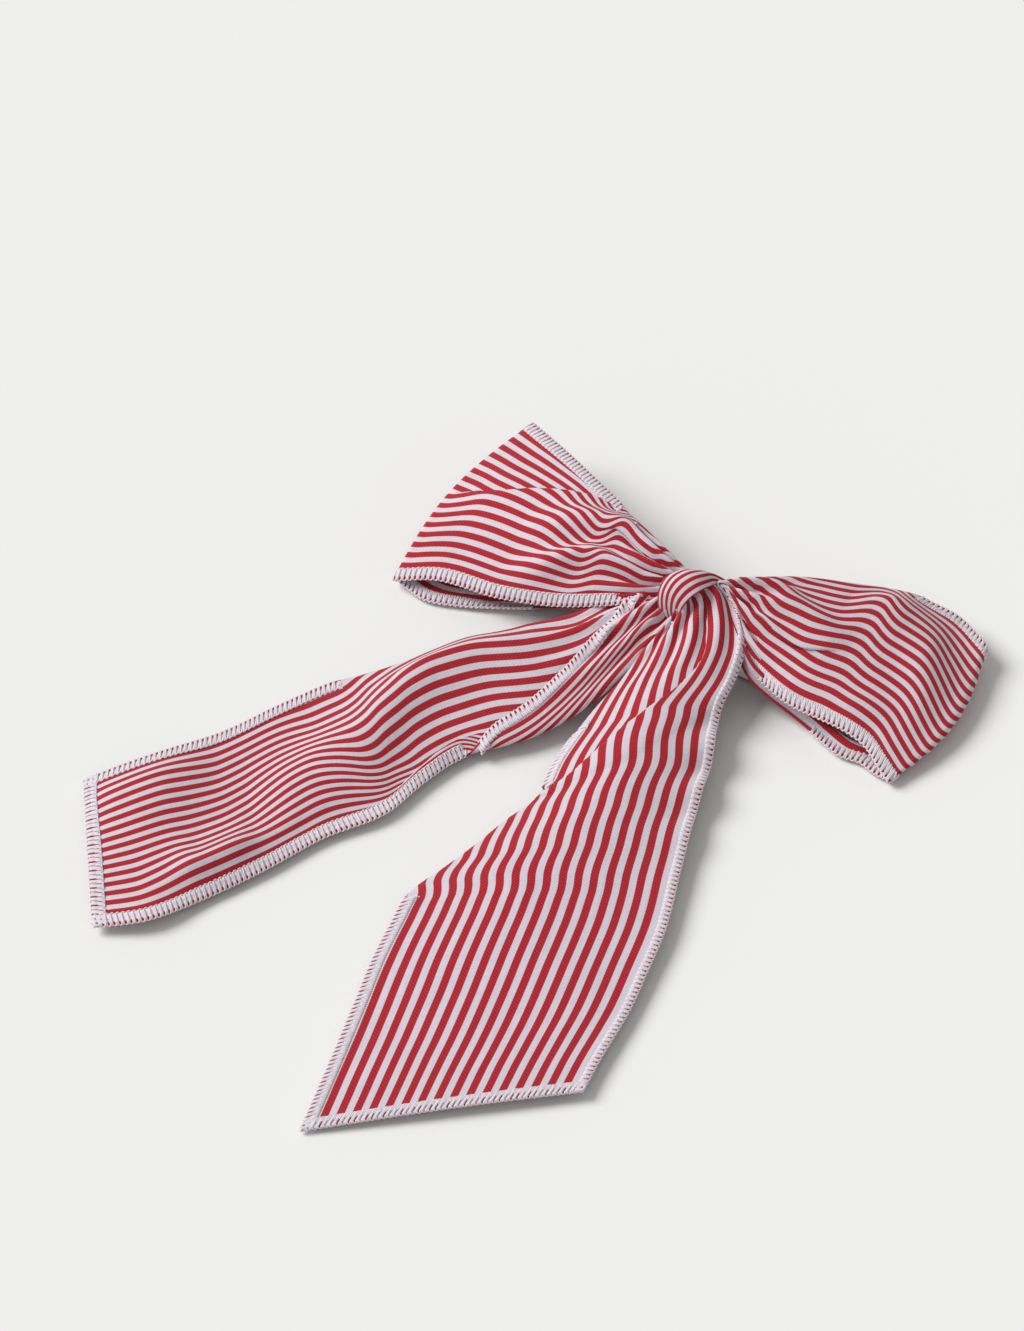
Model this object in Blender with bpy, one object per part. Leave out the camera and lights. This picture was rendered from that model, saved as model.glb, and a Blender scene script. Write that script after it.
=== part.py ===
"""Striped hair bow on a spring barrette, lying on a table with its clip underneath.

X runs along the bow from the left loop to the right loop, the tails run towards -Y and Z is up.
The origin is the middle of the clasp arm's flat underside, which is also the table's level.
Sizes are in millimetres and are turned into metres where a mesh is made.
"""

import math

import bmesh
import bpy
from mathutils import Matrix, Vector

MM = 0.001

# Fits
GAP = 0.3                  # between pieces that touch or are sewn together
HINGE_GAP = 1.2            # between cloth pieces that swing against each other

# Cloth
CLOTH = 1.0                # cloth with its small ripples, taken as one plain layer
OVERLOCK_WIDTH = 4.0       # stitched border of every cut edge
OVERLOCK_THICKNESS = 1.4
TABLE_LIFT = 0.75          # middle of a cloth layer that lies on the table

# Barrette
CLIP_HEIGHT = 12.4         # underside of the clasp arm to the top of the base plate
PLATE_LENGTH = 66.0
PLATE_WIDTH = 8.0
PLATE = 0.8
SEWING_HOLE = 2.0
SEWING_HOLE_INSET = 2.2    # hole centre to the end of the plate
ARM_THICKNESS = 0.9
ARM_WIDTH = 7.0
ARM_END_WALL = 1.6         # bar of the arm past its latch window
HINGE_X = 27.0
HINGE_HEIGHT = 3.3
PIN_DIAMETER = 1.5
PIN_OVERHANG = 0.5         # pin end past each ear
EAR_THICKNESS = 0.8
EAR_LENGTH = 5.0
KNUCKLE_WALL = 1.0
RAIL_WIDTH = 1.1           # side bars of the latch window
PRONG_WIDTH = 5.0
PRONG_THICKNESS = 0.6
PRONG_X = -27.0
PRONG_WING_DEPTH = 4.0     # finger pad of a prong, out from the clip's middle
PRONG_TIP_LIFT = 0.3       # prong tip above the table
BAR_WIDTH = 5.5
BAR_THICKNESS = 0.5
BAR_SAG = 4.5              # lowest point of the tension bar below its ends
BAR_BOW = 0.7              # below 1 the bar drops steeply and runs flat in the middle
BAR_END_DROP = 1.3         # free end below the riveted end
RIVET_X = 19.0
RIVET_DIAMETER = 1.4
RIVET_HEAD = 2.8
RIVET_HEAD_HEIGHT = 0.5
BAR_FREE_X = -20.0

# Backing patch and threads
PATCH_LENGTH = 56.0
PATCH_WIDTH = 9.0
PATCH_THICKNESS = 1.0
THREAD = 0.8
STITCH_RING = 2.0          # radius of the stitch through a sewing hole
BINDING_TURNS = 4
BINDING_PITCH = 1.3

# Knot
CORE_WIDTH = 15.0          # along X
CORE_DEPTH = 19.0          # along Y
CORE_HEIGHT = 13.5
WRAP_WIDTH = 18.0
WRAP_THICKNESS = 1.6
WRAP_YAW = -24.0           # degrees, the wrap crosses the bow at a slant
KNOT_Y = 1.5
CORE_FULLNESS = 2.6        # 2 is an ellipse, higher is closer to a box
BINDING_FULLNESS = 4.0
WRAP_FULLNESS = 5.0

# Loops: the outer fold runs from a back corner to a front corner
LOOP_FOLD_RADIUS = 2.0
LOOP_GATHER_WIDTH = 17.0
LOOP_ARCH = 4.0            # rise of the top layer's middle
LOOP_SHELF = 0.25          # share of the reach in which the lower layer stays on the clip
LOOP_DROP = 0.35           # share of the reach in which it comes down to the table
LOOP_RISE = 0.55           # share of the reach where it starts to rise to the outer fold
LOOP_FOLD_SHARE = 0.16     # share of the strip's points that goes round the fold
LEFT_BACK_REACH = 85.0
LEFT_FRONT_REACH = 95.0
LEFT_BACK_DEPTH = 43.0
LEFT_FRONT_DEPTH = 23.0
LEFT_BACK_FOLD_HEIGHT = 20.0
LEFT_FRONT_FOLD_HEIGHT = 4.5
RIGHT_BACK_REACH = 79.0
RIGHT_FRONT_REACH = 77.0
RIGHT_BACK_DEPTH = 41.0
RIGHT_FRONT_DEPTH = 20.0
RIGHT_BACK_FOLD_HEIGHT = 11.0
RIGHT_FRONT_FOLD_HEIGHT = 4.5

# Tails: fans of cloth between two edges, measured from the hinge line at the root
LEFT_TAIL_ROOT_BACK = (-49.0, -21.0, 4.5)
LEFT_TAIL_ROOT_FRONT = (-21.0, -16.5, 7.0)
LEFT_TAIL_BACK_LENGTH = 148.0
LEFT_TAIL_BACK_HEADING = 234.5
LEFT_TAIL_FRONT_LENGTH = 193.0
LEFT_TAIL_FRONT_HEADING = 245.0
LEFT_TAIL_FRONT_BOW = 13.0
FRONT_TAIL_ROOT_BACK = (18.5, -18.0, 14.0)
FRONT_TAIL_ROOT_FRONT = (-11.0, -18.0, 10.0)
FRONT_TAIL_BACK_LENGTH = 161.0
FRONT_TAIL_BACK_HEADING = 283.5
FRONT_TAIL_FRONT_LENGTH = 210.0
FRONT_TAIL_FRONT_HEADING = 270.8
FRONT_TAIL_FRONT_BOW = -19.0
TAIL_SETTLE = 150.0        # distance in which a tail's edges come down to the table
TAIL_SWELL = 4.5           # rise of a tail's middle above its edges
TAIL_SWELL_START = 0.12    # share of the length in which the swell grows from the level root
TAIL_SWELL_FALL = 0.4      # share of the length where it starts to sink
TAIL_SWELL_LEFT = 0.35     # share of the swell that is left at the cut end
GATHER_THICKNESS = 2.2     # bunched cloth between the knot and the left tail
GATHER_START_BACK = 4.0
GATHER_START_FRONT = -6.0
GATHER_SHELF = 0.3         # share of the gather that lies level on the clip

# Heights that follow
PLATE_BOTTOM = CLIP_HEIGHT - PLATE
BAR_LAP = RIVET_HEAD / 2 + GAP
PATCH_BOTTOM = CLIP_HEIGHT + GAP
PATCH_TOP = PATCH_BOTTOM + PATCH_THICKNESS
CORE_BOTTOM = PATCH_TOP + GAP
CORE_TOP = CORE_BOTTOM + CORE_HEIGHT
BINDING_CLEARANCE = GAP + THREAD / 2
KNOT_BOTTOM = PLATE_BOTTOM - GAP - THREAD - GAP
KNOT_TOP = CORE_TOP + GAP + THREAD + GAP
KNOT_MIDDLE = (KNOT_BOTTOM + KNOT_TOP) / 2
KNOT_HALF_HEIGHT = (KNOT_TOP - KNOT_BOTTOM) / 2
WRAP_TURN = math.radians(abs(WRAP_YAW))
CORE_CORNER = CORE_DEPTH / 2 * math.cos(WRAP_TURN) + CORE_WIDTH / 2 * math.sin(WRAP_TURN)
KNOT_HALF_DEPTH = max(CORE_CORNER + GAP, CORE_DEPTH / 2 + GAP + THREAD + GAP)
WRAP_CORNER = WRAP_WIDTH / 2 * math.cos(WRAP_TURN) + (KNOT_HALF_DEPTH + GAP) * math.sin(WRAP_TURN)
LOOP_START = WRAP_CORNER + WRAP_THICKNESS + HINGE_GAP
LOOP_LOWER_START = PATCH_TOP + GAP + CLOTH / 2 + GATHER_THICKNESS + GAP
LOOP_UPPER_START = CORE_TOP - CLOTH / 2

# Colours (linear) with roughness and metallic share
STRIPED_CLOTH = ("striped_cotton", (0.55, 0.16, 0.18), 0.85, 0.0)
WHITE_THREAD = ("white_overlock_thread", (0.80, 0.74, 0.78), 0.8, 0.0)
WHITE_FELT = ("white_felt", (0.78, 0.76, 0.76), 0.95, 0.0)
NICKEL_STEEL = ("nickel_plated_steel", (0.62, 0.61, 0.59), 0.28, 1.0)


def clear_scene():
    for item in list(bpy.data.objects):
        bpy.data.objects.remove(item, do_unlink=True)


def material(name, colour, roughness, metallic):
    found = bpy.data.materials.get(name)
    if found:
        return found
    made = bpy.data.materials.new(name)
    made.use_nodes = True
    shader = made.node_tree.nodes["Principled BSDF"]
    shader.inputs["Base Color"].default_value = (*colour, 1.0)
    shader.inputs["Roughness"].default_value = roughness
    shader.inputs["Metallic"].default_value = metallic
    made.diffuse_color = (*colour, 1.0)
    return made


def finish_mesh(name, bm, finish, origin=(0.0, 0.0, 0.0), smooth_degrees=40.0):
    """Turn a bmesh in millimetres into an object in metres whose origin is at the given point."""
    bmesh.ops.recalc_face_normals(bm, faces=bm.faces[:])
    shift = Matrix.Translation(-Vector(origin))
    bmesh.ops.transform(bm, matrix=Matrix.Scale(MM, 4) @ shift, verts=bm.verts[:])
    mesh = bpy.data.meshes.new(name)
    bm.to_mesh(mesh)
    bm.free()
    mesh.materials.append(material(*finish))
    mesh.shade_smooth()
    mesh.set_sharp_from_angle(angle=math.radians(smooth_degrees))
    item = bpy.data.objects.new(name, mesh)
    item.location = Vector(origin) * MM
    bpy.context.scene.collection.objects.link(item)
    return item


def cutter(name, bm):
    item = finish_mesh(name, bm, NICKEL_STEEL)
    item.hide_render = True
    item.display_type = "WIRE"
    return item


def add_boolean(item, tool, operation):
    step = item.modifiers.new(operation.lower(), "BOOLEAN")
    step.operation = operation
    step.object = tool
    step.solver = "EXACT"


def box(low, high):
    bm = bmesh.new()
    bmesh.ops.create_cube(bm, size=1.0)
    low, high = Vector(low), Vector(high)
    size = high - low
    bmesh.ops.transform(
        bm,
        matrix=Matrix.Translation((low + high) / 2) @ Matrix.Diagonal((*size, 1.0)),
        verts=bm.verts[:],
    )
    return bm


def rod(centre, axis, radius, length, sides=24):
    """A round bar of the given length, centred on a point."""
    bm = bmesh.new()
    bmesh.ops.create_cone(
        bm, cap_ends=True, segments=sides, radius1=radius, radius2=radius, depth=length
    )
    turn = Vector(axis).to_track_quat("Z", "Y").to_matrix().to_4x4()
    bmesh.ops.transform(bm, matrix=Matrix.Translation(centre) @ turn, verts=bm.verts[:])
    return bm


def extruded(outline, place, thickness_vector):
    """Extrude a flat outline; place turns an outline point (a, b) into a 3D point."""
    bm = bmesh.new()
    base = bm.faces.new([bm.verts.new(place(a, b)) for a, b in outline])
    made = bmesh.ops.extrude_face_region(bm, geom=[base])
    moved = [part for part in made["geom"] if isinstance(part, bmesh.types.BMVert)]
    bmesh.ops.translate(bm, vec=thickness_vector, verts=moved)
    return bm


def tube(points, radius, closed, sides=8):
    """A round thread through the points, capped unless it is closed."""
    bm = bmesh.new()
    count = len(points)
    rings = []
    for index, point in enumerate(points):
        before = points[(index - 1) % count] if closed or index else point
        after = points[(index + 1) % count] if closed or index < count - 1 else point
        along = (after - before).normalized()
        side = along.cross(Vector((1.0, 0.0, 0.0)))
        if side.length < 0.2:
            side = along.cross(Vector((0.0, 1.0, 0.0)))
        side.normalize()
        rise = along.cross(side)
        turns = [2 * math.pi * step / sides for step in range(sides)]
        rings.append(
            [bm.verts.new(point + radius * (side * math.cos(a) + rise * math.sin(a))) for a in turns]
        )
    pairs = count if closed else count - 1
    for index in range(pairs):
        here, there = rings[index], rings[(index + 1) % count]
        for step in range(sides):
            following = (step + 1) % sides
            bm.faces.new((here[step], here[following], there[following], there[step]))
    if not closed:
        bm.faces.new(rings[0])
        bm.faces.new(rings[-1])
    return bm


def sheet(points_by_row):
    """An open grid surface through rows of points."""
    bm = bmesh.new()
    grid = [[bm.verts.new(point) for point in row] for row in points_by_row]
    for near, far in zip(grid, grid[1:]):
        for step in range(len(near) - 1):
            bm.faces.new((near[step], near[step + 1], far[step + 1], far[step]))
    return bm


def thicken(item, thickness):
    """Give a cloth surface its thickness, half to each side."""
    step = item.modifiers.new("thickness", "SOLIDIFY")
    step.thickness = thickness * MM
    step.offset = 0.0
    step.use_even_offset = True
    return item


def mix(first, second, share):
    return first + (second - first) * share


def ease(share):
    """0 to 1 with a level start and a level end."""
    share = min(max(share, 0.0), 1.0)
    return share * share * (3.0 - 2.0 * share)


# ---------------------------------------------------------------- barrette


def make_base_plate():
    """Top bar with two hinge ears at the right end and a sewing hole at each end."""
    half = PLATE_LENGTH / 2
    plate = finish_mesh(
        "base_plate",
        box((-half, -PLATE_WIDTH / 2, PLATE_BOTTOM), (half, PLATE_WIDTH / 2, CLIP_HEIGHT)),
        NICKEL_STEEL,
    )
    ear_bottom = HINGE_HEIGHT - PIN_DIAMETER / 2 - GAP - KNUCKLE_WALL
    for side in (-1, 1):
        outer = side * PLATE_WIDTH / 2
        inner = outer - side * EAR_THICKNESS
        ear = box(
            (HINGE_X - EAR_LENGTH / 2, min(outer, inner), ear_bottom),
            (HINGE_X + EAR_LENGTH / 2, max(outer, inner), CLIP_HEIGHT),
        )
        add_boolean(plate, cutter(f"ear_{side}", ear), "UNION")
    hole_radius = PIN_DIAMETER / 2 + GAP
    pin_hole = rod((HINGE_X, 0, HINGE_HEIGHT), (0, 1, 0), hole_radius, PLATE_WIDTH * 2)
    add_boolean(plate, cutter("pin_hole", pin_hole), "DIFFERENCE")
    for side in (-1, 1):
        centre = (side * (half - SEWING_HOLE_INSET), 0, CLIP_HEIGHT)
        hole = rod(centre, (0, 0, 1), SEWING_HOLE / 2, PLATE * 4)
        add_boolean(plate, cutter(f"sewing_hole_{side}", hole), "DIFFERENCE")
    rivet_hole = rod((RIVET_X, 0, CLIP_HEIGHT), (0, 0, 1), RIVET_DIAMETER / 2 + GAP, PLATE * 4)
    add_boolean(plate, cutter("plate_rivet_hole", rivet_hole), "DIFFERENCE")


def make_hinge_pin():
    length = PLATE_WIDTH + 2 * PIN_OVERHANG
    pin = rod((HINGE_X, 0, HINGE_HEIGHT), (0, 1, 0), PIN_DIAMETER / 2, length)
    finish_mesh("hinge_pin", pin, NICKEL_STEEL, (HINGE_X, 0, HINGE_HEIGHT))


def make_clasp_arm():
    """Flat lower bar with a knuckle on the hinge pin and a window for the prongs."""
    knuckle_radius = PIN_DIAMETER / 2 + GAP + KNUCKLE_WALL
    knuckle_width = PLATE_WIDTH - 2 * EAR_THICKNESS - 2 * GAP
    window_back = PRONG_X - PRONG_WIDTH / 2 - GAP * 2
    arm_tip = window_back - ARM_END_WALL
    ear_front = HINGE_X - EAR_LENGTH / 2 - GAP * 2
    hinge = (HINGE_X, 0, HINGE_HEIGHT)
    bar = box((arm_tip, -ARM_WIDTH / 2, 0), (ear_front, ARM_WIDTH / 2, ARM_THICKNESS))
    arm = finish_mesh("clasp_arm", bar, NICKEL_STEEL, hinge)
    tongue = box(
        (ear_front - knuckle_radius, -knuckle_width / 2, 0),
        (HINGE_X, knuckle_width / 2, ARM_THICKNESS),
    )
    add_boolean(arm, cutter("arm_tongue", tongue), "UNION")
    riser = box(
        (HINGE_X - knuckle_radius * 0.7, -knuckle_width / 2, 0),
        (HINGE_X + knuckle_radius * 0.7, knuckle_width / 2, HINGE_HEIGHT),
    )
    add_boolean(arm, cutter("arm_riser", riser), "UNION")
    knuckle = rod(hinge, (0, 1, 0), knuckle_radius, knuckle_width)
    add_boolean(arm, cutter("arm_knuckle", knuckle), "UNION")
    bore = rod(hinge, (0, 1, 0), PIN_DIAMETER / 2 + GAP, PLATE_WIDTH * 2)
    add_boolean(arm, cutter("arm_bore", bore), "DIFFERENCE")
    window = box(
        (window_back, -ARM_WIDTH / 2 + RAIL_WIDTH, -ARM_THICKNESS),
        (PRONG_X + PRONG_WIDTH / 2 + GAP * 2, ARM_WIDTH / 2 - RAIL_WIDTH, ARM_THICKNESS * 2),
    )
    add_boolean(arm, cutter("arm_window", window), "DIFFERENCE")


def prong_outline():
    """Middle line of a prong seen along the clip: (out from the middle, height)."""
    window_half = ARM_WIDTH / 2 - RAIL_WIDTH
    leg = window_half - GAP - PRONG_THICKNESS
    top = PLATE_BOTTOM - GAP
    return (
        (mix(leg, PRONG_WING_DEPTH, 0.5), top),
        (PRONG_WING_DEPTH, mix(PRONG_TIP_LIFT, top, 0.75)),
        (PRONG_WING_DEPTH, mix(PRONG_TIP_LIFT, top, 0.5)),
        (leg, mix(PRONG_TIP_LIFT, top, 0.3)),
        (leg, PRONG_TIP_LIFT),
    )


def make_release_prong(name, side):
    """Spring leg that reaches down through the arm's window, pinched inwards to let go."""
    line = prong_outline()
    outline = list(line) + [(depth + PRONG_THICKNESS, height) for depth, height in reversed(line)]
    start = PRONG_X - PRONG_WIDTH / 2
    pivot = (PRONG_X, side * (line[0][0] + PRONG_THICKNESS / 2), line[0][1])
    leg = extruded(
        outline, lambda depth, height: (start, side * depth, height), (PRONG_WIDTH, 0, 0)
    )
    finish_mesh(name, leg, NICKEL_STEEL, pivot)


def bar_height(x):
    """Middle height of the bowed tension bar at x."""
    bow_start = RIVET_X - BAR_LAP
    share = max((bow_start - x) / (bow_start - BAR_FREE_X), 0.0)
    top = PLATE_BOTTOM - GAP - BAR_THICKNESS / 2
    return top - BAR_END_DROP * share - BAR_SAG * max(math.sin(math.pi * share), 0.0) ** BAR_BOW


def make_tension_bar():
    """Bowed leaf spring riveted under the base plate, which presses on the hair."""
    steps = 14
    xs = [RIVET_X + BAR_LAP]
    xs += [mix(RIVET_X - BAR_LAP, BAR_FREE_X, step / steps) for step in range(steps + 1)]
    line = [(x, bar_height(x) - BAR_THICKNESS / 2) for x in xs]
    outline = line + [(x, height + BAR_THICKNESS) for x, height in reversed(line)]
    bar = extruded(outline, lambda x, height: (x, -BAR_WIDTH / 2, height), (0, BAR_WIDTH, 0))
    pivot = (RIVET_X, 0, bar_height(RIVET_X))
    item = finish_mesh("tension_bar", bar, NICKEL_STEEL, pivot)
    hole = rod((RIVET_X, 0, PLATE_BOTTOM), (0, 0, 1), RIVET_DIAMETER / 2 + GAP, PLATE * 6)
    add_boolean(item, cutter("bar_rivet_hole", hole), "DIFFERENCE")


def make_bar_rivet():
    """Rivet with a head under the tension bar and a flat one on the base plate."""
    head_top = bar_height(RIVET_X) - BAR_THICKNESS / 2 - GAP
    head_middle = head_top - RIVET_HEAD_HEIGHT / 2
    head = rod((RIVET_X, 0, head_middle), (0, 0, 1), RIVET_HEAD / 2, RIVET_HEAD_HEIGHT)
    item = finish_mesh("bar_rivet", head, NICKEL_STEEL)
    shank_length = CLIP_HEIGHT - head_middle
    shank_middle = (CLIP_HEIGHT + head_middle) / 2
    shank = rod((RIVET_X, 0, shank_middle), (0, 0, 1), RIVET_DIAMETER / 2, shank_length)
    add_boolean(item, cutter("rivet_shank", shank), "UNION")


def make_end_stitch(name, side):
    """Ring of thread through a sewing hole and round the end of the base plate."""
    centre_x = side * (PLATE_LENGTH / 2 - SEWING_HOLE_INSET + STITCH_RING)
    steps = 20
    turns = [2 * math.pi * step / steps for step in range(steps)]
    middle = (PLATE_BOTTOM + CLIP_HEIGHT) / 2
    points = [
        Vector((centre_x + STITCH_RING * math.cos(a), 0, middle + STITCH_RING * math.sin(a)))
        for a in turns
    ]
    finish_mesh(name, tube(points, THREAD / 2, closed=True), WHITE_THREAD)


# ---------------------------------------------------------------- knot


def rounded(half_depth, half_height, turn, fullness):
    """A point on a rounded-box outline, as (depth, height) from its middle."""
    power = 2.0 / fullness
    cosine, sine = math.cos(turn), math.sin(turn)
    return (
        half_depth * math.copysign(abs(cosine) ** power, cosine),
        half_height * math.copysign(abs(sine) ** power, sine),
    )


def make_backing_patch():
    """Felt strip between the base plate and the cloth."""
    patch = box(
        (-PATCH_LENGTH / 2, -PATCH_WIDTH / 2, PATCH_BOTTOM),
        (PATCH_LENGTH / 2, PATCH_WIDTH / 2, PATCH_TOP),
    )
    finish_mesh("backing_patch", patch, WHITE_FELT)


def make_knot_core():
    """Pinched middle of the loop strip, a bundle of gathers under the binding."""
    steps, rings = 20, 4
    middle = (CORE_BOTTOM + CORE_TOP) / 2
    bm = bmesh.new()
    sections = []
    for ring in range(rings + 1):
        x = mix(-CORE_WIDTH / 2, CORE_WIDTH / 2, ring / rings)
        swell = 1.0 - 0.12 * (1.0 - abs(2.0 * ring / rings - 1.0))
        section = []
        for step in range(steps):
            turn = 2 * math.pi * step / steps
            depth, height = rounded(
                CORE_DEPTH / 2 * swell, CORE_HEIGHT / 2 * swell, turn, CORE_FULLNESS
            )
            section.append(bm.verts.new((x, KNOT_Y + depth, middle + height)))
        sections.append(section)
    for here, there in zip(sections, sections[1:]):
        for step in range(steps):
            following = (step + 1) % steps
            bm.faces.new((here[step], here[following], there[following], there[step]))
    bm.faces.new(sections[0])
    bm.faces.new(sections[-1])
    finish_mesh("knot_core", bm, STRIPED_CLOTH)


def make_binding_thread():
    """Thread wound round the gathers, the patch and the base plate."""
    steps_per_turn = 20
    half_depth = CORE_DEPTH / 2 + BINDING_CLEARANCE
    half_height = (CORE_TOP - PLATE_BOTTOM) / 2 + BINDING_CLEARANCE
    middle = (CORE_TOP + PLATE_BOTTOM) / 2
    count = steps_per_turn * BINDING_TURNS
    points = []
    for step in range(count + 1):
        turn = 2 * math.pi * step / steps_per_turn
        depth, height = rounded(half_depth, half_height, turn, BINDING_FULLNESS)
        x = (step / count - 0.5) * BINDING_TURNS * BINDING_PITCH
        points.append(Vector((x, KNOT_Y + depth, middle + height)))
    finish_mesh("binding_thread", tube(points, THREAD / 2, closed=False, sides=6), WHITE_THREAD)


def make_knot_wrap():
    """Band of cloth round the bundle and the base plate, slanting across the bow."""
    steps, rows = 28, 4
    slant = Matrix.Rotation(math.radians(WRAP_YAW), 3, "Z")
    grow = GAP + WRAP_THICKNESS / 2
    bm = bmesh.new()
    grid = []
    for row in range(rows + 1):
        x = mix(-WRAP_WIDTH / 2, WRAP_WIDTH / 2, row / rows)
        line = []
        for step in range(steps):
            turn = 2 * math.pi * step / steps
            depth, height = rounded(
                KNOT_HALF_DEPTH + grow, KNOT_HALF_HEIGHT + grow, turn, WRAP_FULLNESS
            )
            upper = ease(height / KNOT_HALF_HEIGHT + 0.6)
            place = slant @ Vector((x, depth, 0)) * upper + Vector((x, depth, 0)) * (1 - upper)
            line.append(bm.verts.new((place.x, KNOT_Y + place.y, KNOT_MIDDLE + height)))
        grid.append(line)
    for here, there in zip(grid, grid[1:]):
        for step in range(steps):
            following = (step + 1) % steps
            bm.faces.new((here[step], here[following], there[following], there[step]))
    thicken(finish_mesh("knot_wrap", bm, STRIPED_CLOTH), WRAP_THICKNESS)


# ---------------------------------------------------------------- loops


class Loop:
    """A strip that goes out along the table, round an outer fold and back on top to the knot."""

    def __init__(self, side, reaches, depths, fold_heights):
        self.side = side
        self.back_reach, self.front_reach = reaches
        self.back_depth, self.front_depth = depths
        self.back_fold, self.front_fold = fold_heights
        self.hinge = (side * LOOP_START, KNOT_Y, LOOP_UPPER_START)

    def point(self, path, across):
        """path runs 0 to 1 from the lower start to the upper start, across from back to front."""
        reach = mix(self.back_reach, self.front_reach, across)
        fold_y = mix(self.back_depth, -self.front_depth, across)
        fold_z = mix(self.back_fold, self.front_fold, across)
        root_y = KNOT_Y + mix(LOOP_GATHER_WIDTH / 2, -LOOP_GATHER_WIDTH / 2, across)
        layer_share = (1.0 - LOOP_FOLD_SHARE) / 2
        if path <= layer_share:
            out = path / layer_share
            shelf = mix(LOOP_LOWER_START, TABLE_LIFT, ease((out - LOOP_SHELF) / LOOP_DROP))
            rise = ease((out - LOOP_RISE) / (1.0 - LOOP_RISE))
            height = mix(shelf, fold_z - LOOP_FOLD_RADIUS, rise)
        elif path >= 1.0 - layer_share:
            out = (1.0 - path) / layer_share
            height = mix(LOOP_UPPER_START, fold_z + LOOP_FOLD_RADIUS, out)
            height += LOOP_ARCH * math.sin(math.pi * out)
        else:
            turn = math.pi * (path - layer_share) / LOOP_FOLD_SHARE
            out = 1.0 + LOOP_FOLD_RADIUS / reach * math.sin(turn)
            height = fold_z - LOOP_FOLD_RADIUS * math.cos(turn)
        x = mix(LOOP_START, reach - LOOP_FOLD_RADIUS, out)
        return Vector((self.side * x, mix(root_y, fold_y, out), height))

    def margins(self, path):
        """Shares of the width taken by the overlocked border, without and with its gap."""
        width = (self.point(path, 0) - self.point(path, 1)).length
        return OVERLOCK_WIDTH / width, (OVERLOCK_WIDTH + GAP) / width


def make_loop(name, side, reaches, depths, fold_heights):
    """A loop of the bow with its two overlocked borders as pieces of their own."""
    columns, rows = 24, 5
    loop = Loop(side, reaches, depths, fold_heights)
    paths = [column / columns for column in range(columns + 1)]
    cloth_rows = []
    for row in range(rows + 1):
        line = []
        for path in paths:
            cloth_edge = loop.margins(path)[1]
            line.append(loop.point(path, mix(cloth_edge, 1.0 - cloth_edge, row / rows)))
        cloth_rows.append(line)
    thicken(finish_mesh(name, sheet(cloth_rows), STRIPED_CLOTH, loop.hinge), CLOTH)
    for edge, place in (("back", 0.0), ("front", 1.0)):
        outer = [loop.point(path, place) for path in paths]
        inner = [loop.point(path, abs(place - loop.margins(path)[0])) for path in paths]
        border = sheet([outer, inner])
        item = finish_mesh(f"{name}_{edge}_overlock", border, WHITE_THREAD, loop.hinge)
        thicken(item, OVERLOCK_THICKNESS)


# ---------------------------------------------------------------- tails


class TailEdge:
    """Long edge of a tail: a heading from the root, bowed sideways, coming down to the table."""

    def __init__(self, root, length, heading, bow):
        self.root = Vector(root)
        self.length = length
        self.heading = math.radians(heading)
        self.bow = bow

    def point(self, along):
        forward = Vector((math.cos(self.heading), math.sin(self.heading), 0))
        sideways = Vector((-forward.y, forward.x, 0))
        distance = self.length * along
        bowed = self.bow * math.sin(math.pi * along)
        point = self.root + forward * distance + sideways * bowed
        point.z = mix(self.root.z, TABLE_LIFT, ease(distance / TAIL_SETTLE))
        return point


class Tail:
    """A fan of cloth that swells between two edges which leave the hinge line."""

    def __init__(self, name, back, front):
        self.name = name
        self.back = back
        self.front = front
        self.back_root = back.root
        self.front_root = front.root
        self.hinge = (back.root + front.root) / 2

    def swell(self, along, across):
        grown = ease(along / TAIL_SWELL_START)
        sunk = ease((along - TAIL_SWELL_FALL) / (1.0 - TAIL_SWELL_FALL))
        height = TAIL_SWELL * grown * mix(1.0, TAIL_SWELL_LEFT, sunk)
        return Vector((0.0, 0.0, height * math.sin(math.pi * across)))

    def point(self, along, across):
        level = self.back.point(along).lerp(self.front.point(along), across)
        return level + self.swell(along, across)

    def margins(self, along):
        """Shares of the width taken by the overlocked border, without and with its gap."""
        width = (self.point(along, 0) - self.point(along, 1)).length
        return OVERLOCK_WIDTH / width, (OVERLOCK_WIDTH + GAP) / width

    def end_shares(self):
        """Shares of the length at which the end border and the cloth stop."""
        length = (self.back.length + self.front.length) / 2
        return 1.0 - OVERLOCK_WIDTH / length, 1.0 - (OVERLOCK_WIDTH + GAP) / length


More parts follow.
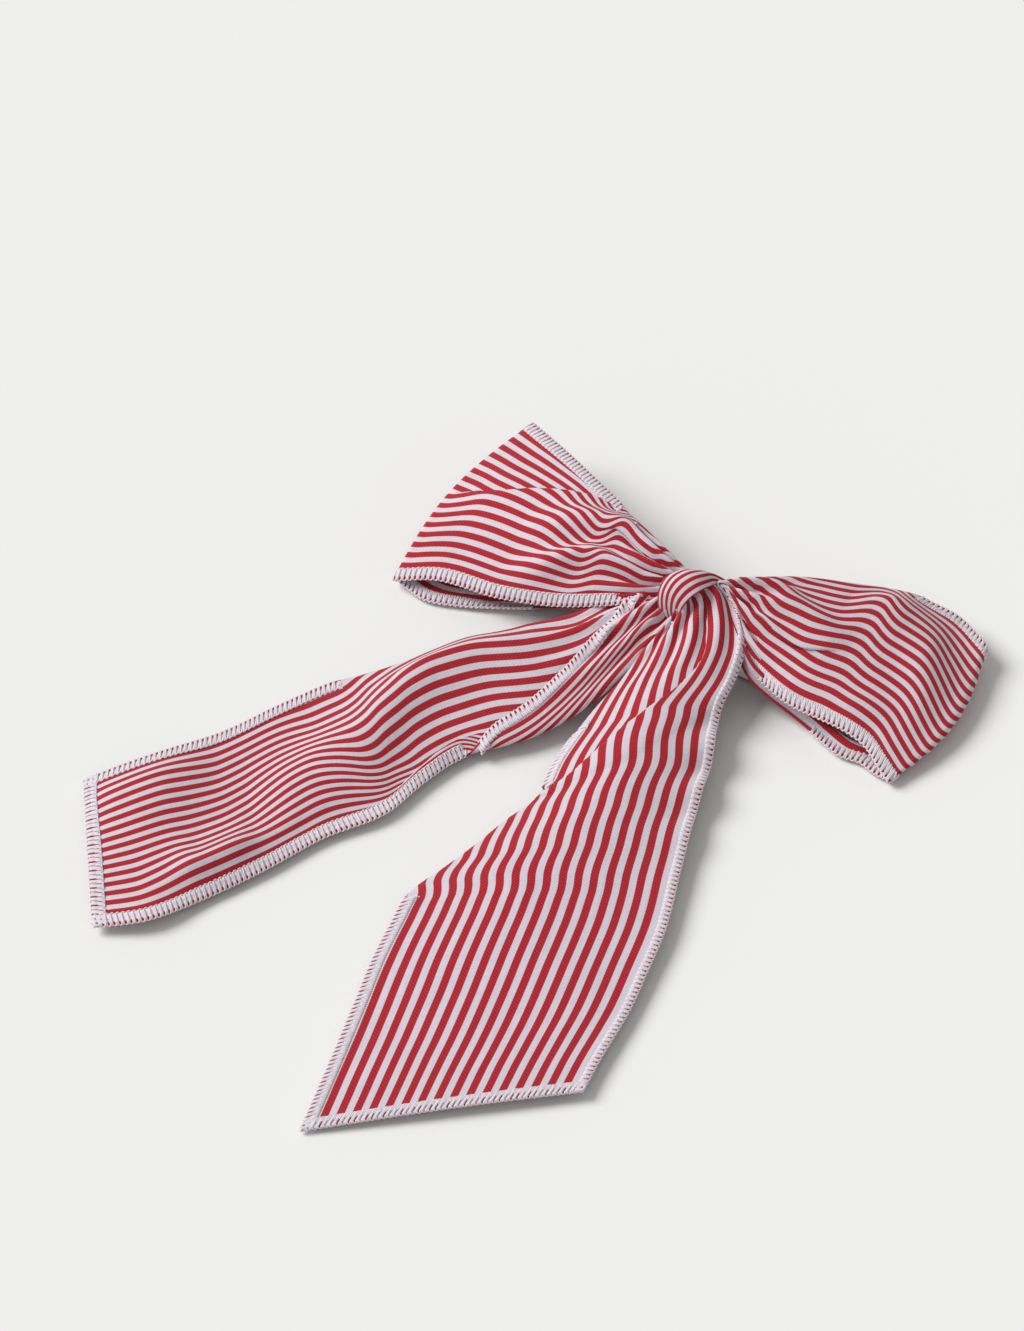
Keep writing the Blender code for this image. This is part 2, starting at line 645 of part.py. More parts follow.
def make_tail(tail):
    """A tail with one overlocked border round its two long edges and its cut end."""
    columns, rows = 16, 6
    border_end, cloth_end = tail.end_shares()
    cloth_rows = []
    for row in range(rows + 1):
        line = []
        for column in range(columns + 1):
            along = mix(0.0, cloth_end, column / columns)
            cloth_edge = tail.margins(along)[1]
            line.append(tail.point(along, mix(cloth_edge, 1.0 - cloth_edge, row / rows)))
        cloth_rows.append(line)
    cloth = finish_mesh(tail.name, sheet(cloth_rows), STRIPED_CLOTH, tail.hinge)
    thicken(cloth, CLOTH)
    outer, inner = [], []
    for column in range(columns + 1):
        along = mix(0.0, border_end, column / columns)
        outer.append(tail.point(mix(0.0, 1.0, column / columns), 0.0))
        inner.append(tail.point(along, tail.margins(along)[0]))
    for row in range(1, rows):
        across = row / rows
        outer.append(tail.point(1.0, across))
        edge = tail.margins(border_end)[0]
        inner.append(tail.point(border_end, mix(edge, 1.0 - edge, across)))
    for column in range(columns, -1, -1):
        along = mix(0.0, border_end, column / columns)
        outer.append(tail.point(mix(0.0, 1.0, column / columns), 1.0))
        inner.append(tail.point(along, 1.0 - tail.margins(along)[0]))
    border = finish_mesh(f"{tail.name}_overlock", sheet([outer, inner]), WHITE_THREAD, tail.hinge)
    thicken(border, OVERLOCK_THICKNESS)


def make_left_tail_gather(tail):
    """Bunched cloth that leads from the knot over the clip to the left tail's hinge line."""
    columns, rows = 8, 2
    height = PATCH_TOP + GAP + GATHER_THICKNESS / 2
    back_start = Vector((-LOOP_START, GATHER_START_BACK, height))
    front_start = Vector((-LOOP_START, GATHER_START_FRONT, height))
    away = Vector((0.0, HINGE_GAP, 0.0))
    lines = []
    for row in range(rows + 1):
        start = back_start.lerp(front_start, row / rows)
        end = Vector(tail.back_root).lerp(Vector(tail.front_root), row / rows) + away
        line = []
        for column in range(columns + 1):
            out = column / columns
            point = start.lerp(end, out)
            point.z = mix(start.z, end.z, ease((out - GATHER_SHELF) / (1.0 - GATHER_SHELF)))
            line.append(point)
        lines.append(line)
    item = finish_mesh("left_tail_gather", sheet(lines), STRIPED_CLOTH)
    thicken(item, GATHER_THICKNESS)


def build():
    clear_scene()
    make_base_plate()
    make_hinge_pin()
    make_clasp_arm()
    make_release_prong("front_release_prong", -1)
    make_release_prong("back_release_prong", 1)
    make_tension_bar()
    make_bar_rivet()
    make_end_stitch("left_end_stitch", -1)
    make_end_stitch("right_end_stitch", 1)
    make_backing_patch()
    make_knot_core()
    make_binding_thread()
    make_knot_wrap()
    make_loop(
        "left_loop",
        -1,
        (LEFT_BACK_REACH, LEFT_FRONT_REACH),
        (LEFT_BACK_DEPTH, LEFT_FRONT_DEPTH),
        (LEFT_BACK_FOLD_HEIGHT, LEFT_FRONT_FOLD_HEIGHT),
    )
    make_loop(
        "right_loop",
        1,
        (RIGHT_BACK_REACH, RIGHT_FRONT_REACH),
        (RIGHT_BACK_DEPTH, RIGHT_FRONT_DEPTH),
        (RIGHT_BACK_FOLD_HEIGHT, RIGHT_FRONT_FOLD_HEIGHT),
    )
    left_tail = Tail(
        "left_tail",
        TailEdge(LEFT_TAIL_ROOT_BACK, LEFT_TAIL_BACK_LENGTH, LEFT_TAIL_BACK_HEADING, 0.0),
        TailEdge(
            LEFT_TAIL_ROOT_FRONT,
            LEFT_TAIL_FRONT_LENGTH,
            LEFT_TAIL_FRONT_HEADING,
            LEFT_TAIL_FRONT_BOW,
        ),
    )
    make_tail(left_tail)
    make_left_tail_gather(left_tail)
    front_tail = Tail(
        "front_tail",
        TailEdge(FRONT_TAIL_ROOT_BACK, FRONT_TAIL_BACK_LENGTH, FRONT_TAIL_BACK_HEADING, 0.0),
        TailEdge(
            FRONT_TAIL_ROOT_FRONT,
            FRONT_TAIL_FRONT_LENGTH,
            FRONT_TAIL_FRONT_HEADING,
            FRONT_TAIL_FRONT_BOW,
        ),
    )
    make_tail(front_tail)


build()
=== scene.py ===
"""Striped cotton hair bow: the visible cloth, thread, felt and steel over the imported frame."""
import math

import bpy
import numpy as np
from bpy.props import FloatProperty, FloatVectorProperty, IntProperty, PointerProperty
from mathutils import Matrix, Vector


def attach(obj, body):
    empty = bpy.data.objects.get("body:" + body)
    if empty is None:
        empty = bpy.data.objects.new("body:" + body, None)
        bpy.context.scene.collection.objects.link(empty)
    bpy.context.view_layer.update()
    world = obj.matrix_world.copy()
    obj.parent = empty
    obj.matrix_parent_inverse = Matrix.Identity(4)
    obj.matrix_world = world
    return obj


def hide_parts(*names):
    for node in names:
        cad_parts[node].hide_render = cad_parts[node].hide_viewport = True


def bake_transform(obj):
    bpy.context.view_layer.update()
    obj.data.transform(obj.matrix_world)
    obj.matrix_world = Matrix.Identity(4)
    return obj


bl_info = {
    "name": "Striped Hair Bow",
    "version": (1, 0, 0),
    "blender": (4, 5, 0),
    "location": "View3D > Sidebar > Hair Bow",
    "description": "Makes the cloth, stitching, clip finish and studio of a striped hair bow",
    "category": "Object",
}

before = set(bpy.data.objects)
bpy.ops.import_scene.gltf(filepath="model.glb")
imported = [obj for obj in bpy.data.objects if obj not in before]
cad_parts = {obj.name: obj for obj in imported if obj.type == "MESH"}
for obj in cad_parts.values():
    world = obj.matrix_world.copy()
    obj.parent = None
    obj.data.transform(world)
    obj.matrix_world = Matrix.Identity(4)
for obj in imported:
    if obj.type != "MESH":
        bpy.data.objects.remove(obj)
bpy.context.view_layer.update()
MM = 0.001
STRIP_MM = 78.7            # cut width of each strip of cloth
AUTO = "rest"              # a margin or tuck that takes whatever of the strip is left over
TUCK_LAYERS = 1.65         # length that a tuck takes up for each mm of its depth
LOOSE_MM = 8               # most that a loose stretch adds to a margin
SECTION_POINTS = 260       # points along a cross-section before the columns are spread over it


def linear(hex_colour):
    """sRGB hex text to linear RGBA."""
    values = [int(hex_colour[i:i + 2], 16) / 255 for i in (0, 2, 4)]
    return tuple(v / 12.92 if v <= 0.04045 else ((v + 0.055) / 1.055) ** 2.4 for v in values) + (1.0,)


# ---------------------------------------------------------------- curves and tracks


def spline(points, knots, at):
    """Smooth curve through points at their knots, read at the values in at."""
    pts, t, at = (np.asarray(values, float) for values in (points, knots, at))
    step = np.diff(pts, axis=0) / np.diff(t)[:, None]
    slope = np.empty_like(pts)
    slope[0], slope[-1] = step[0], step[-1]
    before, after = np.diff(t)[:-1, None], np.diff(t)[1:, None]
    slope[1:-1] = (step[:-1] * after + step[1:] * before) / (before + after)
    k = np.clip(np.searchsorted(t, at, side="right") - 1, 0, len(t) - 2)
    gap = (t[k + 1] - t[k])[:, None]
    s = np.clip((at - t[k]) / gap[:, 0], 0, 1)[:, None]
    ease_in = 2 * s ** 3 - 3 * s ** 2 + 1
    return (ease_in * pts[k] + (1 - ease_in) * pts[k + 1]
            + gap * ((s ** 3 - 2 * s ** 2 + s) * slope[k] + (s ** 3 - s ** 2) * slope[k + 1]))


def lengths_along(points):
    """Distance from the first point to each point."""
    return np.concatenate([[0.0], np.cumsum(np.linalg.norm(np.diff(points, axis=0), axis=1))])


def through(points, at):
    """Smooth curve through points, read at shares of its length."""
    pts = np.asarray(points, float)
    knots = lengths_along(pts)
    return spline(pts, knots / knots[-1], at)


def rounded_line(corners, count):
    """Cubic B-spline that starts and ends on the first and last corner."""
    pts = np.asarray(corners, float)
    pts = np.vstack([2 * pts[0] - pts[1], pts, 2 * pts[-1] - pts[-2]])
    spans = len(pts) - 3
    t = np.linspace(0, spans, count)
    k = np.minimum(t.astype(int), spans - 1)
    s = (t - k)[:, None]
    return ((1 - s) ** 3 * pts[k] + (3 * s ** 3 - 6 * s ** 2 + 4) * pts[k + 1]
            + (-3 * s ** 3 + 3 * s ** 2 + 3 * s + 1) * pts[k + 2] + s ** 3 * pts[k + 3]) / 6


def track(pairs, at):
    """Value of a few (place, value) pairs at a place along a strip, smooth and never past its neighbours."""
    if not isinstance(pairs, (tuple, list)):
        return pairs
    places, values = np.array(pairs, float).T
    step = np.diff(values) / np.diff(places)
    slope = np.concatenate([step[:1], np.zeros(len(step) - 1), step[-1:]])
    same = step[1:] * step[:-1] > 0
    slope[1:-1][same] = (2 * step[1:] * step[:-1])[same] / (step[1:] + step[:-1])[same]
    at = min(max(at, places[0]), places[-1])
    k = min(int(np.searchsorted(places, at, side="right")) - 1, len(step) - 1)
    gap = places[k + 1] - places[k]
    s = (at - places[k]) / gap
    ease = s * s * (3 - 2 * s)
    bend = s * (1 - s) * gap * ((1 - s) * slope[k] - s * slope[k + 1])
    return float(values[k] + (values[k + 1] - values[k]) * ease + bend)


def bump(u, v, place, across, long, wide, height):
    """A soft hill on a strip, u along and v across it."""
    return height * np.exp(-((u - place) / long) ** 2 - ((v - across) / wide) ** 2)


# ---------------------------------------------------------------- folded strips


class Tuck:
    """A crest along the strip with the cloth behind it, or before it, drawn under by a depth in mm."""

    def __init__(self, crest, depth, rise, spread=4.0, towards=1):
        self.crest, self.depth, self.rise, self.spread, self.towards = crest, depth, rise, spread, towards

    def corners(self, place, width, drawn):
        """Corners (distance across, height) of the section at the tuck; drawn is its depth when AUTO."""
        middle = track(self.crest, place) * width
        depth = drawn if self.depth == AUTO else track(self.depth, place)
        rise = track(self.rise, place)
        spread = self.spread * min(1.0, 0.35 + width / 60)
        over = max(0.8 * spread, 0.9 * depth)
        line = [(-spread, 0.1 * rise), (-0.3 * spread + 0.5 * depth, 0.02 * rise), (depth, 0.1 * rise),
                (0.45 * depth, 0.5 * rise), (0.0, rise), (over, 0.8 * rise),
                (over + 1.2 * spread, 0.25 * rise)]
        if self.towards < 0:
            line = [(-x, z) for x, z in reversed(line)]
        return [(min(max(middle + x, 0.5), width - 0.5), z) for x, z in line]

    def shows(self, place, drawn):
        """Whether the tuck is there at this place along the strip."""
        if self.depth == AUTO:
            return drawn > 0.5
        return track(self.depth, place) > 0.05 or track(self.rise, place) > 0.05


def turned_margin(size, over, lift):
    """Corners of an edge folded over the cloth or under it, from its cut edge to the fold."""
    if size < 0.2:
        return [(0.0, 0.0)]
    full = min(1.0, size / 4)
    lift *= full if over else -full
    return [(size, 2 * lift), (0.5 * size, 2.1 * lift), (0.6 * full, 1.9 * lift), (-0.4 * full, lift),
            (0.4 * full, 0.0)]


def column_places(length, full, slack, loose, columns):
    """Places of the columns along a cross-section: true to size, with what is left gathered at the slack."""
    if slack is None or length >= full:
        return np.linspace(0, length + (min(full, length) - length) * loose, columns)
    centre, wide = slack
    at = np.linspace(0, length, 240)
    drawn = np.exp(-((at / length - centre) / wide) ** 2)
    cloth = np.concatenate([[0.0], np.cumsum((drawn[1:] + drawn[:-1]) / 2)])
    cloth = at + (full - length) * cloth / cloth[-1]
    return np.interp(np.linspace(0, full, columns), cloth, at)


def cross_section(width, place, form, columns, margins, full=0, drawn=0):
    """Points (distance across, height) from the back edge to the front edge, and the length along them."""
    lift = form.get("lift", 1.1)
    start = turned_margin(margins[0], False, lift)
    end = turned_margin(margins[1], form.get("front_over", False), lift)
    end = [(width - x, z) for x, z in reversed(end)]
    tucks = [tuck.corners(place, width, drawn) for tuck in form.get("tucks", ()) if tuck.shows(place, drawn)]
    tucks.sort(key=lambda c: c[0])
    corners = []
    for group in [start] + tucks + [end]:
        if corners:
            last, first = np.array(corners[-1]), np.array(group[0])
            corners += [tuple(last + (first - last) * i / 4) for i in (1, 2, 3)]
        corners += group
    line = rounded_line(corners, SECTION_POINTS)
    share = np.clip(line[:, 0] / width, 0, 1)
    hill = np.sin(np.pi * share)
    line[:, 1] += track(form.get("crown", 0), place) * hill
    for count, height, phase in form.get("pleats", ()):
        wave = np.sin(2 * np.pi * (count * share + phase)) * np.minimum(1, 3 * hill)
        line[:, 1] += track(height, place) * wave
    for crest, height, behind, before in form.get("ridges", ()):
        away = share - track(crest, place)
        swell = np.exp(-(away / np.where(away < 0, behind, before)) ** 2) * np.minimum(1, 2 * hill)
        line[:, 1] += track(height, place) * swell
    if "waves" in form:
        line[:, 1] += form["waves"](place, share)
    along = lengths_along(line)
    slack = [track(values, place) for values in form["slack"]] if "slack" in form else None
    at = column_places(along[-1], full, slack, track(form.get("loose", 0), place) if full else 0, columns)
    return np.stack([np.interp(at, along, line[:, i]) for i in (0, 1)], 1), along[-1]


def averaged(rows, count):
    """Running mean down the rows."""
    padded = np.pad(rows, ((count // 2, count // 2), (0, 0)), mode="edge")
    return np.stack([np.convolve(column, np.ones(count) / count, mode="valid") for column in padded.T], 1)


def margins_along(spans, forward, form):
    """Row by row, mm: margins folded away at back and front, width on the slant and the AUTO tuck's depth."""
    rows = len(spans)
    margins = np.zeros((rows, 4))
    for i in range(rows):
        place = i / (rows - 1)
        width = np.linalg.norm(spans[i])
        slant = np.linalg.norm(np.cross(spans[i] / width, forward[i]))
        full = STRIP_MM / max(slant, 0.6)
        back, front, drawn = track(form.get("back_margin", 0), place), form.get("front_margin", 0), 0.0

        def spare(front, drawn):
            return full - cross_section(width, place, form, 40, (back, front), drawn=drawn)[1]

        if front == AUTO and place < form.get("rest_from", 0):
            front = track(form["first_margin"], place)
            most = (track(form["tucks"][0].crest, place) * width - 0.5) / (TUCK_LAYERS / 2)
            for _ in range(3):
                drawn = min(max(drawn + spare(front, drawn) / TUCK_LAYERS, 0), most)
        elif front == AUTO:
            front = spare(0, 0)
            front += spare(max(front, 0), 0) + LOOSE_MM * track(form.get("loose", 0), place)
        else:
            front = track(front, place)
        margins[i] = max(back, 0), min(max(front, 0), track(form.get("most", 19), place)), full, drawn
    return averaged(margins, 9)


def loft(back, front, form, rows, columns):
    """Grid of points between two edges; form holds tucks, crown, pleats, ridges, waves, margins and bow."""
    along = np.linspace(0, 1, rows)
    back_line, front_line = through(back, along), through(front, along)
    forward = np.gradient(back_line + (front_line - back_line) * form.get("guide", 0.5), axis=0)
    forward[:, 2] = 0
    forward /= np.linalg.norm(forward, axis=1)[:, None]
    forward = averaged(forward, rows // 8 * 2 + 1)
    margins = margins_along(front_line - back_line, forward, form)
    grid = np.empty((rows, columns, 3))
    for i, place in enumerate(along):
        span = front_line[i] - back_line[i]
        width = np.linalg.norm(span)
        line, _ = cross_section(width, place, form, columns, margins[i, :2], *margins[i, 2:])
        grid[i] = back_line[i] + span / width * line[:, :1]
        grid[i, :, 2] += line[:, 1]
        bow = track(form.get("bow", 0), place)
        share = np.clip(line[:, :1] / width, 0, 1)
        grid[i] += forward[i] * bow * np.sin(np.pi * share)
    return relaxed(grid, 2)


def above_table(grid, lowest=1.0, soft=0.4):
    """Lifts what would sink into the table, without a hard crease."""
    over = (grid[..., 2] - lowest) / soft
    grid[..., 2] = lowest + soft * np.where(over > 20, over, np.log1p(np.exp(np.minimum(over, 20))))
    return grid


def relaxed(grid, times, first=0, last=None):
    """Smooths a range of rows along the strip."""
    last = len(grid) if last is None else last
    part = grid[first:last].copy()
    for _ in range(times):
        part[1:-1] = 0.25 * part[:-2] + 0.5 * part[1:-1] + 0.25 * part[2:]
    grid[first:last] = part
    return grid


def looped(upper, lower, steps=11):
    """Joins an upper and a lower layer round a soft outer fold."""
    top, bottom = upper[-1], lower[0]
    middle, half = (top + bottom) / 2, (top - bottom) / 2
    outward = upper[-1] - upper[-5]
    outward[:, 2] = 0
    outward *= np.linalg.norm(half, axis=1)[:, None] / np.linalg.norm(outward, axis=1)[:, None]
    turns = np.linspace(0, math.pi, steps)[1:-1]
    roll = np.array([middle + half * math.cos(a) + outward * math.sin(a) for a in turns])
    grid = np.concatenate([upper, roll, lower])
    return relaxed(grid, 3, len(upper) - 8, len(upper) + steps + 6)


def drawn_in(grid, target, rows=10, share=0.4):
    """Adds rows that lead the strip's start into the knot, gathered to a share of its width at the target."""
    first = grid[0]
    knot = np.asarray(target) + (first - first.mean(axis=0)) * share
    blend = np.linspace(1, 0, rows, endpoint=False)[:, None, None]
    return relaxed(np.concatenate([first + (knot - first) * blend, grid]), 2, 0, rows + 5)


def grid_normals(grid):
    """Unit normal at each point of a grid."""
    normals = np.cross(np.gradient(grid, axis=0), np.gradient(grid, axis=1))
    return normals / (np.linalg.norm(normals, axis=2)[..., None] + 1e-12)


# ---------------------------------------------------------------- meshes


def new_object(name, mesh):
    """A new object in the scene's own collection."""
    item = bpy.data.objects.new(name, mesh)
    bpy.context.scene.collection.objects.link(item)
    return item


def smooth(mesh):
    """Shades every face of a mesh smooth."""
    mesh.polygons.foreach_set("use_smooth", [True] * len(mesh.polygons))
    mesh.update()


def outward(verts, faces):
    """The faces, all reversed where the closed body is inside out."""
    pts = np.asarray(verts)
    tri = np.array([f[:3] for f in faces])
    other = np.array([(f[0], f[2], f[3]) for f in faces if len(f) == 4])
    tri = np.vstack([tri, other]) if len(other) else tri
    volume = np.einsum("ij,ij->i", pts[tri[:, 0]], np.cross(pts[tri[:, 1]], pts[tri[:, 2]])).sum()
    return faces if volume > 0 else [tuple(reversed(f)) for f in faces]


def cloth_object(name, grid, thickness, material, strip_width=STRIP_MM):
    """A strip of cloth with both faces and its edges closed; its UV map is in metres along and across."""
    rows, columns, _ = grid.shape
    normals = grid_normals(grid)
    verts = np.concatenate([(grid + normals * thickness / 2).reshape(-1, 3),
                            (grid - normals * thickness / 2).reshape(-1, 3)]) * MM
    index = np.arange(rows * columns).reshape(rows, columns)
    quads = np.stack([index[:-1, :-1], index[1:, :-1], index[1:, 1:], index[:-1, 1:]], -1).reshape(-1, 4)
    rim = np.concatenate([index[0], index[1:, -1], index[-1, :-1][::-1], index[1:-1, 0][::-1]])
    after = np.roll(rim, -1)
    under = rows * columns
    walls = np.stack([rim, after, after + under, rim + under], -1)
    faces = np.concatenate([quads, quads[:, ::-1] + under, walls])
    faces = outward(verts, [tuple(int(i) for i in f) for f in faces])
    mesh = bpy.data.meshes.new(name)
    mesh.from_pydata(verts.tolist(), [], faces)
    along = lengths_along(grid.mean(axis=1))
    across = np.linspace(0, strip_width, columns)
    place = np.stack(np.meshgrid(along, across, indexing="ij"), -1).reshape(-1, 2)
    place = np.concatenate([place, place]) * MM
    corner = np.empty(len(mesh.loops), int)
    mesh.loops.foreach_get("vertex_index", corner)
    layer = mesh.uv_layers.new(name="cloth")
    layer.data.foreach_set("uv", place[corner].ravel())
    mesh.materials.append(material)
    smooth(mesh)
    return new_object(name, mesh)


# ---------------------------------------------------------------- materials


def node(tree, kind, links=None, **settings):
    """Adds a node; settings set its properties, links its inputs by name or number, to values or sockets."""
    item = tree.nodes.new(kind)
    for key, value in settings.items():
        setattr(item, key, value)
    for key, value in (links or {}).items():
        if isinstance(value, bpy.types.NodeSocket):
            tree.links.new(value, item.inputs[key])
        else:
            item.inputs[key].default_value = value
    return item


def arithmetic(tree):
    """A shorthand that adds a Math node to the tree and gives its result."""
    def maths(operation, first, second=0.0, third=0.0):
        return node(tree, "ShaderNodeMath", {0: first, 1: second, 2: third}, operation=operation).outputs[0]
    return maths


def between(tree, value, *ends):
    """A value mapped from the first two ends to the next two, 0 and 1 unless given, and kept within them."""
    return node(tree, "ShaderNodeMapRange", dict(enumerate((value,) + ends))).outputs[0]


def mixed(tree, share, first, second, **settings):
    """Two colours mixed."""
    links = {0: share, 6: first, 7: second}
    return node(tree, "ShaderNodeMix", links, data_type="RGBA", **settings).outputs[2]


def new_material(name, **values):
    """A material, its tree and its Principled shader, whose sockets take the values: _ stands for a space."""
    item = bpy.data.materials.new(name)
    item.use_nodes = True
    shader = item.node_tree.nodes["Principled BSDF"]
    for key, value in values.items():
        shader.inputs[key.replace("_", " ")].default_value = value
    return item, item.node_tree, shader


def tinted(tree, shader, colour, shade):
    """Gives the shader a colour darkened by a shade from 0 to 1."""
    tree.links.new(mixed(tree, 1.0, colour, shade, blend_type="MULTIPLY"), shader.inputs["Base Color"])


def embossed(tree, shader, height, strength, distance):
    """Gives the shader a fine relief."""
    relief = node(tree, "ShaderNodeBump", {"Strength": strength, "Distance": distance, "Height": height})
    tree.links.new(relief.outputs[0], shader.inputs["Normal"])


def woven_cotton(name, stripe_start, back_share):
    """Yarn-dyed plain-weave cotton: matt stripes of dyed warp, slubby threads, fuzz at grazing angles."""
    cloth = bpy.context.scene.bow_cloth
    item, tree, shader = new_material(name, Roughness=0.85, Specular_IOR_Level=0.25, Sheen_Weight=0.12,
                                      Sheen_Roughness=0.45)
    ground, dye = [tuple(colour) + (1.0,) for colour in (cloth.ground_colour, cloth.stripe_colour)]
    uv = node(tree, "ShaderNodeUVMap", uv_map="cloth")
    axes = node(tree, "ShaderNodeSeparateXYZ", {0: uv.outputs[0]})
    along, across = axes.outputs[0], axes.outputs[1]
    maths = arithmetic(tree)

    def noise(scale_along, scale_across, detail, seed):
        spot = node(tree, "ShaderNodeCombineXYZ", {0: maths("MULTIPLY", along, scale_along),
                                                   1: maths("MULTIPLY", across, scale_across), 2: seed})
        return node(tree, "ShaderNodeTexNoise", {"Vector": spot.outputs[0], "Scale": 1.0, "Detail": detail}
                    ).outputs[0]

    # warp threads lie along the strip, so a stripe is a count of dyed threads and its side is a thread's side
    wander = maths("MULTIPLY_ADD", noise(60, 40, 1.0, 3.0), 0.00035, -0.000175)
    stripe = maths("MULTIPLY_ADD", maths("ADD", across, wander), 1 / cloth.stripe_pitch,
                   0.5 - stripe_start * MM / cloth.stripe_pitch)
    side = maths("ABSOLUTE", maths("SUBTRACT", maths("FRACT", stripe), 0.5))
    dyed = between(tree, side, cloth.stripe_share / 2 + 0.025, cloth.stripe_share / 2 - 0.025)
    # the overlock lets red cloth show at the cut edge and covers the rest of its band
    from_back = maths("DIVIDE", across, back_share)
    inset = maths("MULTIPLY", maths("MINIMUM", from_back, maths("SUBTRACT", STRIP_MM * MM, across)), 1 / MM)
    dyed = maths("MAXIMUM", dyed, between(tree, inset, 1.15, 1.0))
    thread = math.pi / cloth.thread_pitch
    warp = maths("SINE", maths("MULTIPLY", across, thread))
    weft = maths("SINE", maths("MULTIPLY", along, thread))
    weave = maths("MULTIPLY", warp, weft)
    slub_warp = noise(60, 2600, 2.0, 0.0)
    slub_weft = noise(2200, 80, 2.0, 7.0)
    blotch = noise(90, 90, 2.0, 11.0)
    tone = maths("MULTIPLY_ADD", slub_warp, 0.30, maths("MULTIPLY_ADD", slub_weft, 0.20,
                 maths("MULTIPLY_ADD", blotch, 0.10, 0.70)))
    # the white weft shows as pale flecks between the dyed threads
    fleck = maths("MULTIPLY", between(tree, weave, 0.1, 1.0), 0.07)
    colour = mixed(tree, dyed, ground, mixed(tree, fleck, dye, ground))
    band = maths("MULTIPLY", between(tree, inset, 1.0, 1.5), between(tree, inset, 3.8, 4.1, 1.0, 0.0))
    tinted(tree, shader, mixed(tree, band, colour, ground), tone)
    height = maths("MULTIPLY_ADD", weave, 0.5, maths("MULTIPLY_ADD", slub_warp, 1.0, slub_weft))
    embossed(tree, shader, height, 0.35, 0.00012)
    return item


def spun_thread(name, hex_colour, ply_mm):
    """Spun polyester thread: off-white, matt, with the fine slanting lines of its twist."""
    item, tree, shader = new_material(name, Roughness=0.8, Sheen_Weight=0.3)
    spot = node(tree, "ShaderNodeTexCoord").outputs["Object"]
    mottle = node(tree, "ShaderNodeTexNoise", {"Vector": spot, "Scale": 900.0, "Detail": 2.0}).outputs[0]
    tinted(tree, shader, linear(hex_colour), between(tree, mottle, 0.3, 0.7, 0.86, 1.0))
    twist = node(tree, "ShaderNodeTexWave", {"Vector": spot, "Scale": 1 / (ply_mm * MM) / 20,
                                             "Distortion": 2.0, "Detail": 1.0}, bands_direction="DIAGONAL")
    embossed(tree, shader, twist.outputs[0], 0.4, 0.0001)
    return item


def pressed_felt(name, hex_colour):
    """Pressed wool felt: a dense matt mat of short fibres, mottled and fuzzy."""
    item, tree, shader = new_material(name, Roughness=0.95, Sheen_Weight=0.5)
    spot = node(tree, "ShaderNodeTexCoord").outputs["Object"]
    fibre = node(tree, "ShaderNodeTexNoise", {"Vector": spot, "Scale": 1500.0, "Detail": 4.0,
                                              "Distortion": 1.2}).outputs[0]
    tinted(tree, shader, linear(hex_colour), between(tree, fibre, 0.3, 0.7, 0.8, 1.0))
    embossed(tree, shader, fibre, 0.8, 0.0003)
    return item


def nickel_plate(name, stretch):
    """Nickel-plated spring steel, rolled then tumbled: bright, with faint lines along it and small scuffs."""
    clip = bpy.context.scene.bow_clip
    item, tree, shader = new_material(name, Metallic=1.0)
    spot = node(tree, "ShaderNodeTexCoord").outputs["Object"]
    turned = node(tree, "ShaderNodeMapping", {0: spot, 3: stretch}).outputs[0]
    lines = node(tree, "ShaderNodeTexNoise", {"Vector": turned, "Scale": 1.0, "Detail": 3.0}).outputs[0]
    scuff = node(tree, "ShaderNodeTexNoise", {"Vector": spot, "Scale": 160.0, "Detail": 5.0}).outputs[0]
    tinted(tree, shader, tuple(clip.metal_colour) + (1.0,), between(tree, scuff, 0.35, 0.7, 0.88, 1.0))
    tree.links.new(between(tree, scuff, 0.3, 0.75, 0.20, 0.36), shader.inputs["Roughness"])
    embossed(tree, shader, lines, 0.15, 0.00005)
    return item


# ---------------------------------------------------------------- overlock seam


